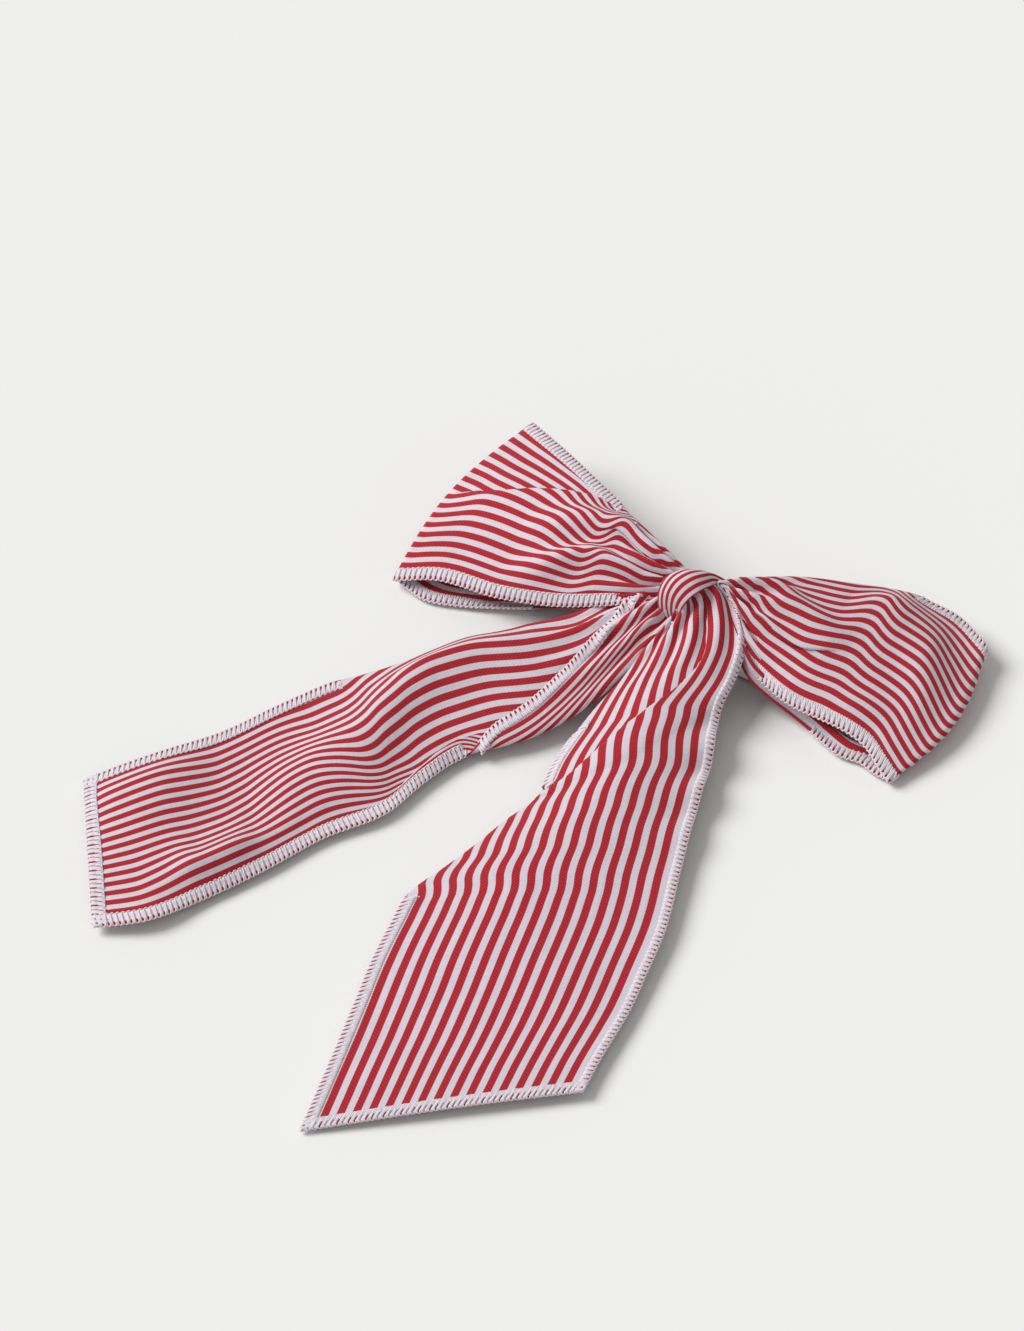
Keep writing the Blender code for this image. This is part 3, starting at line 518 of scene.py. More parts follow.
def seam_tree():
    """Geometry Nodes: threads along a cloth edge. Three wrap it, one knots along it, one is the needle's."""
    name = "Overlock seam"
    if name in bpy.data.node_groups:
        return bpy.data.node_groups[name]
    tree = bpy.data.node_groups.new(name, "GeometryNodeTree")
    face = tree.interface
    face.new_socket("Edge", in_out="INPUT", socket_type="NodeSocketGeometry")
    for label, default in (("Stitch pitch", 0.0017), ("Seam width", 0.004), ("Thread radius", 0.00028),
                           ("Cloth thickness", 0.0005)):
        socket = face.new_socket(label, in_out="INPUT", socket_type="NodeSocketFloat")
        socket.default_value = default
        socket.subtype = "DISTANCE"
    face.new_socket("Seed", in_out="INPUT", socket_type="NodeSocketInt")
    face.new_socket("Thread", in_out="INPUT", socket_type="NodeSocketMaterial")
    face.new_socket("Seam", in_out="OUTPUT", socket_type="NodeSocketGeometry")
    given = node(tree, "NodeGroupInput")
    pitch, width, radius, thick, seed, thread = [given.outputs[i] for i in range(1, 7)]

    maths = arithmetic(tree)

    def vector(operation, first, second=None, scale=None):
        item = node(tree, "ShaderNodeVectorMath", {0: first}, operation=operation)
        if second is not None:
            tree.links.new(second, item.inputs[1])
        if scale is not None:
            tree.links.new(scale, item.inputs["Scale"])
        return item.outputs[0]

    line = node(tree, "GeometryNodeMeshToCurve", {0: given.outputs[0]}).outputs[0]
    inward, upward = [node(tree, "GeometryNodeInputNamedAttribute", {"Name": label}, data_type="FLOAT_VECTOR"
                           ).outputs[0] for label in ("inward", "upward")]
    along = node(tree, "GeometryNodeSplineParameter").outputs["Length"]
    turn = maths("MULTIPLY", maths("DIVIDE", along, pitch), 2 * math.pi)
    surface = maths("MULTIPLY_ADD", thick, 0.5, maths("MULTIPLY", radius, 0.45))
    uneven = node(tree, "GeometryNodeInputPosition").outputs[0]
    uneven = node(tree, "ShaderNodeTexNoise", {"Vector": uneven, "Scale": 420.0, "Detail": 1.0, "W": seed},
                  noise_dimensions="4D").outputs[0]
    uneven = maths("MULTIPLY_ADD", uneven, 0.5, -0.25)

    def stitched(samples_per_stitch, out, up, size):
        step = maths("DIVIDE", pitch, samples_per_stitch)
        even = node(tree, "GeometryNodeResampleCurve", {"Curve": line, "Length": step}, mode="LENGTH")
        offset = vector("ADD", vector("SCALE", inward, scale=out), vector("SCALE", upward, scale=up))
        moved = node(tree, "GeometryNodeSetPosition", {"Geometry": even.outputs[0], "Offset": offset})
        across = maths("MULTIPLY", radius, size)
        ring = node(tree, "GeometryNodeCurvePrimitiveCircle", {"Resolution": 5, "Radius": across})
        tube = {"Curve": moved.outputs[0], "Profile Curve": ring.outputs[0], "Fill Caps": True}
        return node(tree, "GeometryNodeCurveToMesh", tube).outputs[0]

    def wrapping(delay, middle, swing, share, size, loose=0.0):
        # straight legs over and under the edge, that reach in by a share of the width
        phase = maths("SUBTRACT", turn, delay)
        reach = maths("SUBTRACT", middle, maths("MULTIPLY", maths("COSINE", phase), swing))
        reach = maths("MULTIPLY_ADD", reach, maths("MULTIPLY", width, share),
                      maths("MULTIPLY", uneven, maths("MULTIPLY", width, loose)))
        side = maths("MINIMUM", maths("MAXIMUM", maths("MULTIPLY", maths("SINE", phase), 2.2), -1.0), 1.0)
        return stitched(12.0, reach, maths("MULTIPLY", side, surface), size)

    # the third one fills the gap that the others leave, but for the outer millimetre
    threads = [wrapping(0.0, 1.0, 1.0, 0.5, 1.0, 0.12), wrapping(1.5, 1.0, 1.0, 0.48, 0.9),
               wrapping(3.3, 1.55, 0.45, 0.48, 0.9)]
    # looper thread: small knots along the cut edge
    knots = maths("MULTIPLY", maths("COSINE", turn), maths("MULTIPLY", radius, 0.8))
    rise = maths("MULTIPLY", maths("SINE", turn), maths("MULTIPLY", surface, 0.8))
    threads.append(stitched(8.0, knots, rise, 0.7))
    # needle thread: short stitches along the seam's inner side
    dip = maths("MULTIPLY_ADD", maths("COSINE", turn), maths("MULTIPLY", radius, 0.9), surface)
    threads.append(stitched(8.0, maths("MULTIPLY_ADD", uneven, radius, width), dip, 0.6))
    joined = node(tree, "GeometryNodeJoinGeometry")
    for part in threads:
        tree.links.new(part, joined.inputs[0])
    shaded = node(tree, "GeometryNodeSetShadeSmooth", {0: joined.outputs[0]}).outputs[0]
    real = node(tree, "GeometryNodeRealizeInstances", {0: shaded}).outputs[0]
    dressed = node(tree, "GeometryNodeSetMaterial", {"Geometry": real, "Material": thread}).outputs[0]
    node(tree, "NodeGroupOutput", {0: dressed})
    return tree


def edge_lines(grid, edges, back_share):
    """Edge lines of a grid: points, ways across and out of the cloth, where it is flat, seam's share."""
    normals = grid_normals(grid)
    last = grid.shape[1] // 15
    lines = []
    for edge in edges:
        if edge == "end":
            lines.append((grid[-1], grid[-4] - grid[-1], normals[-1], np.ones(grid.shape[1], bool), 1.0))
            continue
        rows = grid if edge == "back" else grid[:, ::-1]
        beside = normals[:, 0 if edge == "back" else -1]
        flat = np.einsum("ij,ij->i", rows[:, 2] - rows[:, 0], rows[:, last] - rows[:, last - 2]) > 0
        share = back_share if edge == "back" else 1.0
        lines.append((rows[:, 0], rows[:, 4] - rows[:, 0], beside, flat, share))
    return lines


def make_seam(name, lines, thread):
    """The overlock threads along the given edge lines, as one plain mesh."""
    sizes = bpy.context.scene.bow_seam
    verts, edges, inward, upward = [], [], [], []
    for points, across, normal, flat, share in lines:
        start = len(verts)
        verts += (points * MM).tolist()
        edges += [(start + i, start + i + 1) for i in range(len(points) - 1) if flat[i] and flat[i + 1]]
        inward += (across / np.linalg.norm(across, axis=1)[:, None] * share).tolist()
        upward += normal.tolist()
    guide = bpy.data.meshes.new(name)
    guide.from_pydata(verts, edges, [])
    for label, values in (("inward", inward), ("upward", upward)):
        layer = guide.attributes.new(label, "FLOAT_VECTOR", "POINT")
        layer.data.foreach_set("vector", np.asarray(values, float).ravel())
    item = new_object(name, guide)
    modifier = item.modifiers.new("seam", "NODES")
    modifier.node_group = seam_tree()
    values = {"Stitch pitch": sizes.stitch_pitch, "Seam width": sizes.width,
              "Thread radius": sizes.thread_radius, "Cloth thickness": bpy.context.scene.bow_cloth.thickness,
              "Seed": sizes.seed, "Thread": thread}
    for socket in modifier.node_group.interface.items_tree:
        if socket.in_out == "INPUT" and socket.name in values:
            modifier[socket.identifier] = values[socket.name]
    return plain(item)


def plain(item):
    """Turns an object's evaluated result into its plain mesh and removes its modifiers."""
    bpy.context.view_layer.update()
    graph = bpy.context.evaluated_depsgraph_get()
    mesh = bpy.data.meshes.new_from_object(item.evaluated_get(graph))
    if not mesh.polygons:
        raise RuntimeError(f"{item.name} came out empty")
    item.modifiers.clear()
    item.data = mesh
    return item


def ready_material(name, maker, *values):
    """A material made once and found again by name."""
    return bpy.data.materials.get(name) or maker(name, *values)


def thread_material():
    return ready_material("spun_polyester_overlock_thread", spun_thread, "e9dfe6", 0.25)


def sewing_thread_material():
    return ready_material("spun_cotton_sewing_thread", spun_thread, "ece6e6", 0.3)


def binding_turns(turns=5, radius=0.4, steps=28, sides=8):
    """Thread wound round the gathered cloth and the clip's top plate, drawn tight under the knot's band."""
    angle = np.linspace(0, 2 * math.pi * turns, turns * steps + 1)
    depth, height = np.cos(angle), np.sin(angle)
    line = np.stack([(angle / angle[-1] - 0.5) * turns * 2.3 * radius,
                     2.5 + 6.0 * np.sign(depth) * np.abs(depth) ** 0.5,
                     16.6 + 5.4 * np.sign(height) * np.abs(height) ** 0.5], 1)
    along = np.gradient(line, axis=0)
    along /= np.linalg.norm(along, axis=1)[:, None]
    side = np.cross(along, (1.0, 0.0, 0.0))
    side /= np.linalg.norm(side, axis=1)[:, None]
    rise = np.cross(along, side)
    verts, faces = [], []
    for point, a, b in zip(line, side, rise):
        verts += [point + radius * (a * math.cos(t) + b * math.sin(t))
                  for t in np.arange(sides) * 2 * math.pi / sides]
    for ring in range(len(line) - 1):
        for i in range(sides):
            near, far, other = ring * sides, (ring + 1) * sides, (i + 1) % sides
            faces.append((near + i, near + other, far + other, far + i))
    last = (len(line) - 1) * sides
    faces += [tuple(range(sides))[::-1], tuple(range(last, last + sides))]
    mesh = bpy.data.meshes.new("knot_binding")
    verts = np.array(verts) * MM
    mesh.from_pydata(verts.tolist(), [], outward(verts, faces[:-2]) + faces[-2:])
    mesh.materials.append(sewing_thread_material())
    smooth(mesh)
    return new_object("knot_binding", mesh)


def felt_pad(half_length=28.0, half_width=4.5, middle=13.2, thickness=0.98, rows=90, columns=24):
    """The strip of felt under the knot, mm: die-cut with round corners, soft at its edges, not quite flat."""
    u, v = np.meshgrid(np.linspace(-1, 1, rows), np.linspace(-1, 1, columns), indexing="ij")
    corner = np.clip((np.abs(u) * half_length - half_length + 1.6) / 1.6, 0, 1)
    wavy = 0.03 * np.sin(9 * u + 1) * np.cos(3 * v)
    grid = np.stack([u * half_length, v * half_width * (1 - 0.3 * corner ** 2), middle + wavy], -1)
    thin = 1 - 0.55 * np.maximum(corner ** 4, np.abs(v) ** 10)
    return cloth_object("felt_backing", grid, (thickness - 0.06) * thin[..., None],
                        ready_material("pressed_wool_felt", pressed_felt, "dcd8d6"))


# ---------------------------------------------------------------- the four strips

# edges of each strip, mm in the frame: from the knot outwards, then a loop's lower layer back to the knot
LEFT_LOOP_BACK = [
    (-10.7, 9.4, 24), (-16.8, 10.7, 26), (-32.6, 17.4, 27), (-49.3, 25.5, 26), (-66.2, 34.5, 23.5),
    (-84.3, 43.8, 20)]
LEFT_LOOP_FRONT = [
    (-12.5, -1.2, 18), (-24.8, -7, 15), (-42.3, -13.7, 11), (-61.1, -18.4, 9), (-85.1, -20.6, 7),
    (-94.8, -23.9, 4.5)]
LEFT_LOOP_LOW_BACK = [
    (-84, 44, 15.5), (-76, 40, 7), (-64, 34, 2), (-50, 26, 1.5), (-40, 18, 5), (-31, 11, 13.8),
    (-18, 6, 17), (-9, 5, 17.5)]
LEFT_LOOP_LOW_FRONT = [
    (-96, -22.1, 2.2), (-93, -22.8, 1.3), (-85.8, -24.6, 1.2), (-73.8, -21.4, 1.4), (-62.1, -16.8, 2.5),
    (-50.1, -12.6, 5), (-37.2, -10.1, 9.5), (-26.3, -7.4, 13.6), (-16.9, -2.1, 16.5), (-12.7, 1.7, 17)]
RIGHT_LOOP_BACK = [
    (0.6, 5.4, 26), (4.8, 9.2, 26.5), (12.5, 15.7, 26), (20.6, 22.2, 25), (28.3, 27.6, 23),
    (37.6, 33.3, 20.5), (44.5, 39.2, 17), (50.5, 44, 13.5), (56, 46.1, 10), (64.9, 46.5, 8.5),
    (77.5, 41, 8)]
RIGHT_LOOP_FRONT = [
    (6.5, 6.4, 21), (13.1, -1.5, 16.5), (19.1, -7.3, 12.5), (26.6, -10.1, 10.5), (38.7, -13.6, 9.5),
    (49.2, -13.7, 9), (57.9, -13.9, 8.5), (65, -14.9, 7), (71, -18.4, 5.5), (76, -21, 3.5)]
RIGHT_LOOP_LOW_BACK = [
    (78, 40, 5), (70, 37, 2), (58, 31, 1.5), (46, 24, 2.5), (38, 17, 8), (31, 11, 13.8), (18, 6, 17),
    (9, 5, 17.5)]
RIGHT_LOOP_LOW_FRONT = [
    (75.2, -19.4, 1.5), (71.7, -19.3, 1.3), (65.3, -17.4, 1.4), (58.7, -18.1, 1.6), (51.5, -16.2, 2.2),
    (44.3, -13.8, 2.8), (37.5, -12.3, 4), (30.2, -12, 7), (22.1, -10.8, 11), (16.1, -6.4, 14.5),
    (8.1, 2.3, 17.5)]
LEFT_TAIL_BACK = [
    (-17.6, 5.5, 15.5), (-24.2, -1.7, 15), (-31.5, -7.7, 13), (-38.2, -14.7, 10.5), (-47.5, -23.5, 9.5),
    (-54.2, -30.3, 9), (-62, -36.6, 8), (-69.9, -46.4, 6.5), (-75.3, -53.8, 5.5), (-82.7, -61.3, 4),
    (-89.1, -67.4, 2.6), (-100.2, -86, 2.2), (-109.6, -105.8, 3), (-120.3, -123.1, 5), (-128.3, -133.3, 4),
    (-135.7, -142.1, 2)]
LEFT_TAIL_FRONT = [
    (-6.5, -4.3, 15), (-9.1, -12.8, 11.5), (-11.4, -23.1, 8), (-13.7, -32.9, 6), (-16.6, -43.2, 5),
    (-20.2, -52.4, 4.5), (-24.6, -60.1, 4), (-29.7, -66.5, 3.6), (-34.7, -71.3, 3.2), (-40.2, -77.6, 3),
    (-44.9, -90.7, 3), (-48.8, -108.5, 3), (-60, -125.6, 2.5), (-69, -146.1, 2.5), (-78.8, -165, 2.5),
    (-89, -182.8, 4.5), (-101.1, -191, 3)]
FRONT_TAIL_BACK = [
    (2.6, 8.3, 23.5), (7.4, 7.2, 22.5), (11.7, 4, 20.5), (15.7, -0.7, 18), (18.4, -6.1, 15.5),
    (19.6, -12, 13.5), (20.6, -19, 11.5), (21.2, -25.7, 10), (23.8, -33.6, 9), (27, -41.2, 8),
    (30.2, -51.5, 7), (33.1, -62.4, 6.5), (35.8, -71.6, 6), (41.5, -89.4, 5), (47.5, -108.1, 4.5),
    (50.5, -123.8, 4), (53.1, -139.5, 3.5), (54.8, -160.4, 3.5), (56.3, -173, 3.5)]
FRONT_TAIL_FRONT = [
    (-6, -6.7, 21), (-8, -11.7, 16), (-10.1, -17.4, 12.5), (-11.8, -28.7, 8.5), (-13.8, -40.7, 6),
    (-14.7, -51.6, 4.5), (-14.5, -67.4, 3.8), (-12.6, -81.6, 3.6), (-16, -93.4, 3.6), (-18.4, -104.1, 3.6),
    (-22.3, -118.4, 3.6), (-26.6, -132.8, 3.2), (-25.2, -145.7, 2.4), (-23, -159.8, 2),
    (-19.2, -176.1, 1.8), (-15, -194.5, 1.5), (-8.2, -225.3, 1.3)]


def left_loop_grid():
    """Left loop, mm: the top layer out from the knot, round the outer fold and back along the table."""
    tucks = [
        Tuck([(0, 0.0), (0.4, 0.06), (0.48, 0.11), (0.565, 0.185), (0.72, 0.33), (0.855, 0.45), (1, 0.50)],
             [(0, 0), (0.36, 0), (0.5, 3.5), (0.7, 6), (0.85, 5), (0.95, 1.5), (1, 0)],
             [(0, 0), (0.36, 0), (0.5, 2), (0.7, 3), (0.85, 2.5), (1, 0)], 3.5),
        Tuck([(0, 0.36), (0.08, 0.36), (0.17, 0.34), (0.265, 0.32), (0.37, 0.39), (0.435, 0.5), (1, 0.95)],
             [(0, 0), (0.08, 0), (0.2, 2), (0.3, 2), (0.4, 0), (1, 0)],
             [(0, 0), (0.06, 0), (0.2, 2), (0.3, 1.5), (0.42, 0), (1, 0)], 2.5, towards=-1),
    ]
    ridges = [
        ([(0.12, 0.10), (0.215, 0.145), (0.305, 0.22), (0.4, 0.305), (0.55, 0.455), (0.7, 0.56)],
         [(0, 0), (0.2, 2.5), (0.35, 4.8), (0.5, 4), (0.68, 0)], 0.14, 0.13),
        ([(0.37, 0.60), (0.525, 0.76), (0.7, 0.8)], [(0.12, 0), (0.3, 4), (0.45, 4), (0.66, 0)], 0.09, 0.11),
        ([(0.4, 0.72), (0.9, 0.8)], [(0.5, 0), (0.65, -2.0), (0.8, -1.5), (0.95, 0)], 0.14, 0.14),
    ]
    top = loft(LEFT_LOOP_BACK, LEFT_LOOP_FRONT,
               {"tucks": tucks, "crown": [(0, 1), (0.25, 3.5), (0.6, 5.5), (1, 1)], "ridges": ridges,
                "bow": [(0, 0), (0.6, 0), (1, 5)],
                "back_margin": [(0, 7), (0.29, 7), (0.34, 2), (0.36, 0), (1, 0)],
                "pleats": [(5, [(0, 2.2), (0.12, 1.7), (0.34, 0), (1, 0)], 0.2)]}, 130, 120)
    low = loft(LEFT_LOOP_LOW_BACK, LEFT_LOOP_LOW_FRONT,
               {"crown": [(0, 0.8), (0.3, 0.5), (1, 0.5)], "bow": [(0, -5), (0.4, 0), (1, 0)],
                "pleats": [(7, [(0, 0), (0.15, 0), (0.35, 1.6), (0.6, 2.8), (1, 3.2)], 0.1)]}, 90, 120)
    return above_table(drawn_in(looped(top, low), (-2.0, 6.0, 20.0)))


def right_loop_grid():
    """Right loop, mm: the top layer out from the knot, round the outer fold and back along the table."""
    tucks = [
        Tuck([(0, 0.42), (0.115, 0.46), (0.205, 0.58), (0.275, 0.65), (0.34, 0.70), (0.395, 0.71),
              (0.455, 0.69), (0.555, 0.62), (1, 0.4)],
             [(0, 0), (0.1, 0), (0.3, 3), (0.42, 3.5), (0.52, 1.5), (0.6, 0), (1, 0)],
             [(0, 0), (0.1, 0), (0.3, 1.8), (0.45, 1.5), (0.62, 0), (1, 0)], 3.0, towards=-1),
    ]
    ridges = [
        ([(0, 0.2), (0.12, 0.255), (0.215, 0.26), (0.295, 0.325), (0.37, 0.395), (0.44, 0.44), (0.525, 0.49)],
         [(0, 0), (0.1, 2), (0.25, 3.5), (0.4, 2.5), (0.6, 0)], 0.09, 0.12),
        ([(0.225, 0.9), (0.52, 0.895), (0.69, 0.90), (0.86, 0.84)],
         [(0.1, 0), (0.3, 1.5), (0.7, 2), (0.9, 0)], 0.09, 0.07),
        ([(0.62, 0.15), (0.75, 0.25), (0.9, 0.45)], [(0.5, 0), (0.68, 4), (0.82, 4), (0.97, 0)], 0.22, 0.25),
    ]
    top = loft(RIGHT_LOOP_BACK, RIGHT_LOOP_FRONT,
               {"tucks": tucks, "crown": [(0, 1), (0.3, 4.5), (0.7, 5), (1, 1)], "ridges": ridges,
                "bow": [(0, 0), (0.6, 1), (1, 6)],
                "back_margin": [(0, 8), (0.6, 8), (0.67, 3), (0.70, 0), (1, 0)],
                "pleats": [(5, [(0, 2.4), (0.15, 1.8), (0.4, 0), (1, 0)], 0.0)]}, 130, 120)
    low = loft(RIGHT_LOOP_LOW_BACK, RIGHT_LOOP_LOW_FRONT,
               {"crown": [(0, 0.8), (0.3, 0.5), (1, 0.5)], "bow": [(0, -6), (0.4, 0), (1, 0)],
                "pleats": [(8, [(0, 0.3), (0.15, 1.0), (0.35, 2.2), (0.6, 3.2), (1, 3.4)], 0.1)]}, 90, 120)
    return above_table(drawn_in(looped(top, low), (7.0, 5.5, 20.0)))


def left_tail_grid():
    """Left tail, mm: out of the knot under the left loop, its front margin turned over near the knot."""
    gather = Tuck([(0, 0.30), (0.2, 0.22), (0.4, 0.2), (1, 0.2)], [(0, 2), (0.1, 1), (0.16, 0), (1, 0)],
                  [(0, 2), (0.12, 2), (0.25, 0), (1, 0)], 5.0)
    pinch = Tuck([(0, 0.8), (0.36, 0.84), (0.42, 0.86), (0.5, 0.9), (1, 0.95)],
                 [(0, 0), (0.34, 0), (0.40, 3), (0.45, 3), (0.52, 0), (1, 0)],
                 [(0, 0), (0.33, 0), (0.41, 1.2), (0.52, 0), (1, 0)], 2.5)
    ridges = [
        ([(0.3, 0.10), (0.425, 0.22), (0.485, 0.36), (0.55, 0.50), (0.6, 0.54), (0.655, 0.58), (0.72, 0.56)],
         [(0.15, 0), (0.3, 4), (0.43, 6), (0.58, 6.5), (0.66, 4.5), (0.74, 0)], 0.22, 0.30),
        ([(0.68, 0.92), (0.775, 0.86), (0.825, 0.86), (0.87, 0.80), (0.92, 0.76)],
         [(0.66, 0), (0.725, 2.5), (0.79, 6), (0.84, 5.5), (0.89, 2), (0.93, 0)], 0.16, 0.16),
        ([(0.8, 0.2), (1, 0.2)], [(0.78, 0), (0.89, 3), (0.96, 2), (1, 0)], 0.25, 0.25),
    ]
    grid = loft(LEFT_TAIL_BACK, LEFT_TAIL_FRONT,
                {"tucks": [gather, pinch], "ridges": ridges,
                 "crown": [(0, 1.5), (0.3, 1.5), (0.6, 0.8), (1, 0.8)],
                 "slack": ([(0, 0.8), (0.3, 0.86), (0.4, 0.92), (0.5, 0.92), (0.65, 0.6), (1, 0.5)],
                           [(0, 0.06), (0.45, 0.08), (0.6, 0.3), (0.7, 0.8), (1, 0.8)]),
                 "back_margin": [(0, 12), (0.2, 12), (0.4, 10), (0.49, 6), (0.53, 1), (0.54, 0), (1, 0)],
                 "front_margin": [(0, 17), (0.12, 17), (0.2, 15), (0.27, 11), (0.34, 6.5), (0.365, 1),
                                  (0.37, 0), (1, 0)],
                 "front_over": True,
                 "pleats": [(4, [(0, 1.6), (0.12, 0.8), (0.3, 0), (1, 0)], 0.3)]}, 200, 120)
    return above_table(grid)


def front_tail_grid():
    """Front tail, mm: out of the knot towards the front, its left margin folded under halfway down."""
    tucks = [
        Tuck([(0, 0.55), (0.08, 0.46), (0.14, 0.41), (0.18, 0.47), (0.22, 0.6), (0.275, 0.76), (0.32, 0.905),
              (0.345, 1.0), (1, 1.0)], AUTO, 1.3, 2.0, towards=-1),
    ]

    def waves(u, v):
        ripples = 1.5 * np.exp(-(v / 0.12) ** 2) * np.sin(2 * np.pi * u * 11)
        ripples *= np.exp(-((u - 0.33) / 0.14) ** 2)
        return bump(u, v, 0.35, 0.5, 0.12, 0.35, 2.0) + bump(u, v, 0.6, 0.6, 0.15, 0.3, 1.5) + ripples

    grid = loft(FRONT_TAIL_BACK, FRONT_TAIL_FRONT,
                {"tucks": tucks, "crown": [(0, 3), (0.12, 4), (0.25, 5.2), (0.4, 4), (0.65, 2), (1, 1)],
                 "waves": waves, "guide": 0.0, "front_margin": AUTO, "rest_from": 0.345,
                 "first_margin": [(0, 9), (0.26, 0), (1, 0)],
                 "most": [(0, 9), (0.34, 9), (0.346, 42), (0.5, 30), (0.565, 18), (0.6, 5), (0.61, 0),
                          (1, 0)],
                 "loose": [(0, 0), (0.1, 0), (0.2, 1), (0.5, 1), (0.6, 0), (1, 0)],
                 "pleats": [(4, [(0, 1.6), (0.1, 0.8), (0.2, 0), (1, 0)], 0.3)]}, 320, 150)
    return above_table(grid)


def wrap_grid():
    """The band round the knot, mm: from under the knot's front left, over its top and down behind."""
    upper = [(-10.5, -4.6, 14), (-12.3, -4.8, 20), (-12.9, -3.3, 25), (-12.2, -0.3, 28), (-8.8, 1.8, 30.5),
            (-4.1, 4.1, 30.5), (-0.4, 6.5, 28)] + [(8.5, 9, 22), (8, 9.5, 15)]
    lower = [(-3.7, -5.5, 14), (-4.2, -5.9, 19), (-3.5, -5.6, 23.5), (-2, -4, 26.5), (-0.3, -1.3, 28),
            (1.1, 2.5, 27.5), (1.9, 6.1, 26)] + [(12, 7, 21), (12, 7.5, 15)]
    return loft(upper, lower, {"crown": [(0, 0.5), (0.3, 2.2), (0.6, 2.0), (1, 0.5)],
                               "back_margin": 3.5, "lift": 0.9}, 90, 70)


# ---------------------------------------------------------------- settings


def length(name, description, default, least, most):
    """A length setting, in metres."""
    return FloatProperty(name=name, description=description, default=default, min=least, max=most,
                         subtype="DISTANCE", unit="LENGTH")


def tint(name, description, hex_colour):
    """A colour setting."""
    return FloatVectorProperty(name=name, description=description, subtype="COLOR", size=3, min=0.0, max=1.0,
                               default=linear(hex_colour)[:3])


class BowClothSettings(bpy.types.PropertyGroup):
    """Sizes and colours of the striped cloth."""
    thickness: length("Cloth thickness", "Thickness of one layer of cloth", 0.0005, 0.0002, 0.0015)
    stripe_pitch: length("Stripe pitch", "Distance from one stripe to the next", 0.00449, 0.001, 0.02)
    stripe_share: FloatProperty(name="Stripe share", description="Share of the pitch that is coloured",
                                default=0.53, min=0.1, max=0.9, subtype="FACTOR")
    thread_pitch: length("Thread pitch", "Distance between threads, twice the real one so that it shows",
                         0.0006, 0.0002, 0.002)
    stripe_colour: tint("Stripe colour", "Dyed warp threads", "a81823")
    ground_colour: tint("Ground colour", "Undyed threads", "d3cad3")


class BowSeamSettings(bpy.types.PropertyGroup):
    """Sizes of the overlocked edges."""
    stitch_pitch: length("Stitch pitch", "Distance from one stitch to the next", 0.0017, 0.0008, 0.005)
    width: length("Seam width", "From the cut edge to the needle line", 0.0040, 0.001, 0.01)
    thread_radius: length("Thread radius", "Half the thickness of the thread", 0.00036, 0.0001, 0.001)
    seed: IntProperty(name="Seed", description="Changes the unevenness of the stitches", default=4, min=0)


class BowClipSettings(bpy.types.PropertyGroup):
    """Finish of the clip."""
    metal_colour: tint("Metal colour", "Nickel plating", "d2cdc6")


class BowStageSettings(bpy.types.PropertyGroup):
    """Floor and light."""
    floor_colour: tint("Floor colour", "Plain paper floor", "efefed")
    key_strength: FloatProperty(name="Window light", description="Strength of the soft light from the left",
                                default=2.7, min=0.0, max=20.0)
    fill_strength: FloatProperty(name="Room light", description="Strength of the even light all round",
                                 default=0.40, min=0.0, max=5.0)


# ---------------------------------------------------------------- operators


def cloth_material(name, stripe_start, back_share=1.0):
    """Cotton with its first red stripe stripe_start mm from the back edge; back_share narrows that seam."""
    return ready_material(f"woven_cotton_{name}", woven_cotton, stripe_start, back_share)


class Placing:
    """What a strip stands for, with its body, hinge points, seams, flat length and supports."""

    def __init__(self, body, start, end, nodes, seams, flat_length, rests_on):
        self.body, self.start, self.end, self.nodes = body, start, end, nodes
        self.seams, self.flat_length, self.rests_on = seams, flat_length, rests_on


# start and end are two points, mm, on the strip's hinge line
PLACES = {
    "left_loop": Placing("left_loop", (-9.0, 1.5, 27), (-23.0, 1.5, 27), ["left_loop"],
                         {"back_seam": (["back"], ["left_loop_back_overlock"]),
                          "front_seam": (["front"], ["left_loop_front_overlock"])}, 180, ["left_tail_cloth"]),
    "right_loop": Placing("right_loop", (9.0, 1.5, 27), (23.0, 1.5, 27), ["right_loop"],
                          {"back_seam": (["back"], ["right_loop_back_overlock"]),
                           "front_seam": (["front"], ["right_loop_front_overlock"])}, 168, ["table_floor"]),
    "left_tail": Placing("left_tail", (-34.05, -12.8, 5.75), (-35.95, -24.7, 5.75),
                         ["left_tail", "left_tail_gather"],
                         {"seam": (["back", "end", "front"], ["left_tail_overlock"])}, 205, ["table_floor"]),
    "front_tail": Placing("front_tail", (3.75, -12.0, 12.0), (3.75, -24.0, 12.0), ["front_tail"],
                          {"seam": (["back", "end", "front"], ["front_tail_overlock"])}, 222,
                          ["table_floor"]),
}


def dress_strip(name, grid, stripe_start, back_share=1.0):
    """Makes one strip's cloth and overlocked edges and hides the frame's parts that they replace."""
    place = PLACES[name]
    thickness = bpy.context.scene.bow_cloth.thickness / MM
    cloth = cloth_object(f"{name}_cloth", grid, thickness, cloth_material(name, stripe_start, back_share))
    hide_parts(*place.nodes)
    seams = []
    for label, (edges, nodes) in place.seams.items():
        seam = make_seam(f"{name}_{label}", edge_lines(grid, edges, back_share), thread_material())
        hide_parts(*nodes)
        seams.append(seam)
    start, end = [tuple(c * MM for c in p) for p in (place.start, place.end)]
    for item in [cloth] + seams:
        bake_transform(item)
        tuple(start)
        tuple(end)
    [r for r in place.rests_on if r in bpy.data.objects]


class BOW_OT_left_tail(bpy.types.Operator):
    """Makes the left tail with its overlocked edges"""
    bl_idname = "bow.left_tail"
    bl_label = "Left tail"

    def execute(self, context):
        dress_strip("left_tail", left_tail_grid(), 0.9)
        return {"FINISHED"}


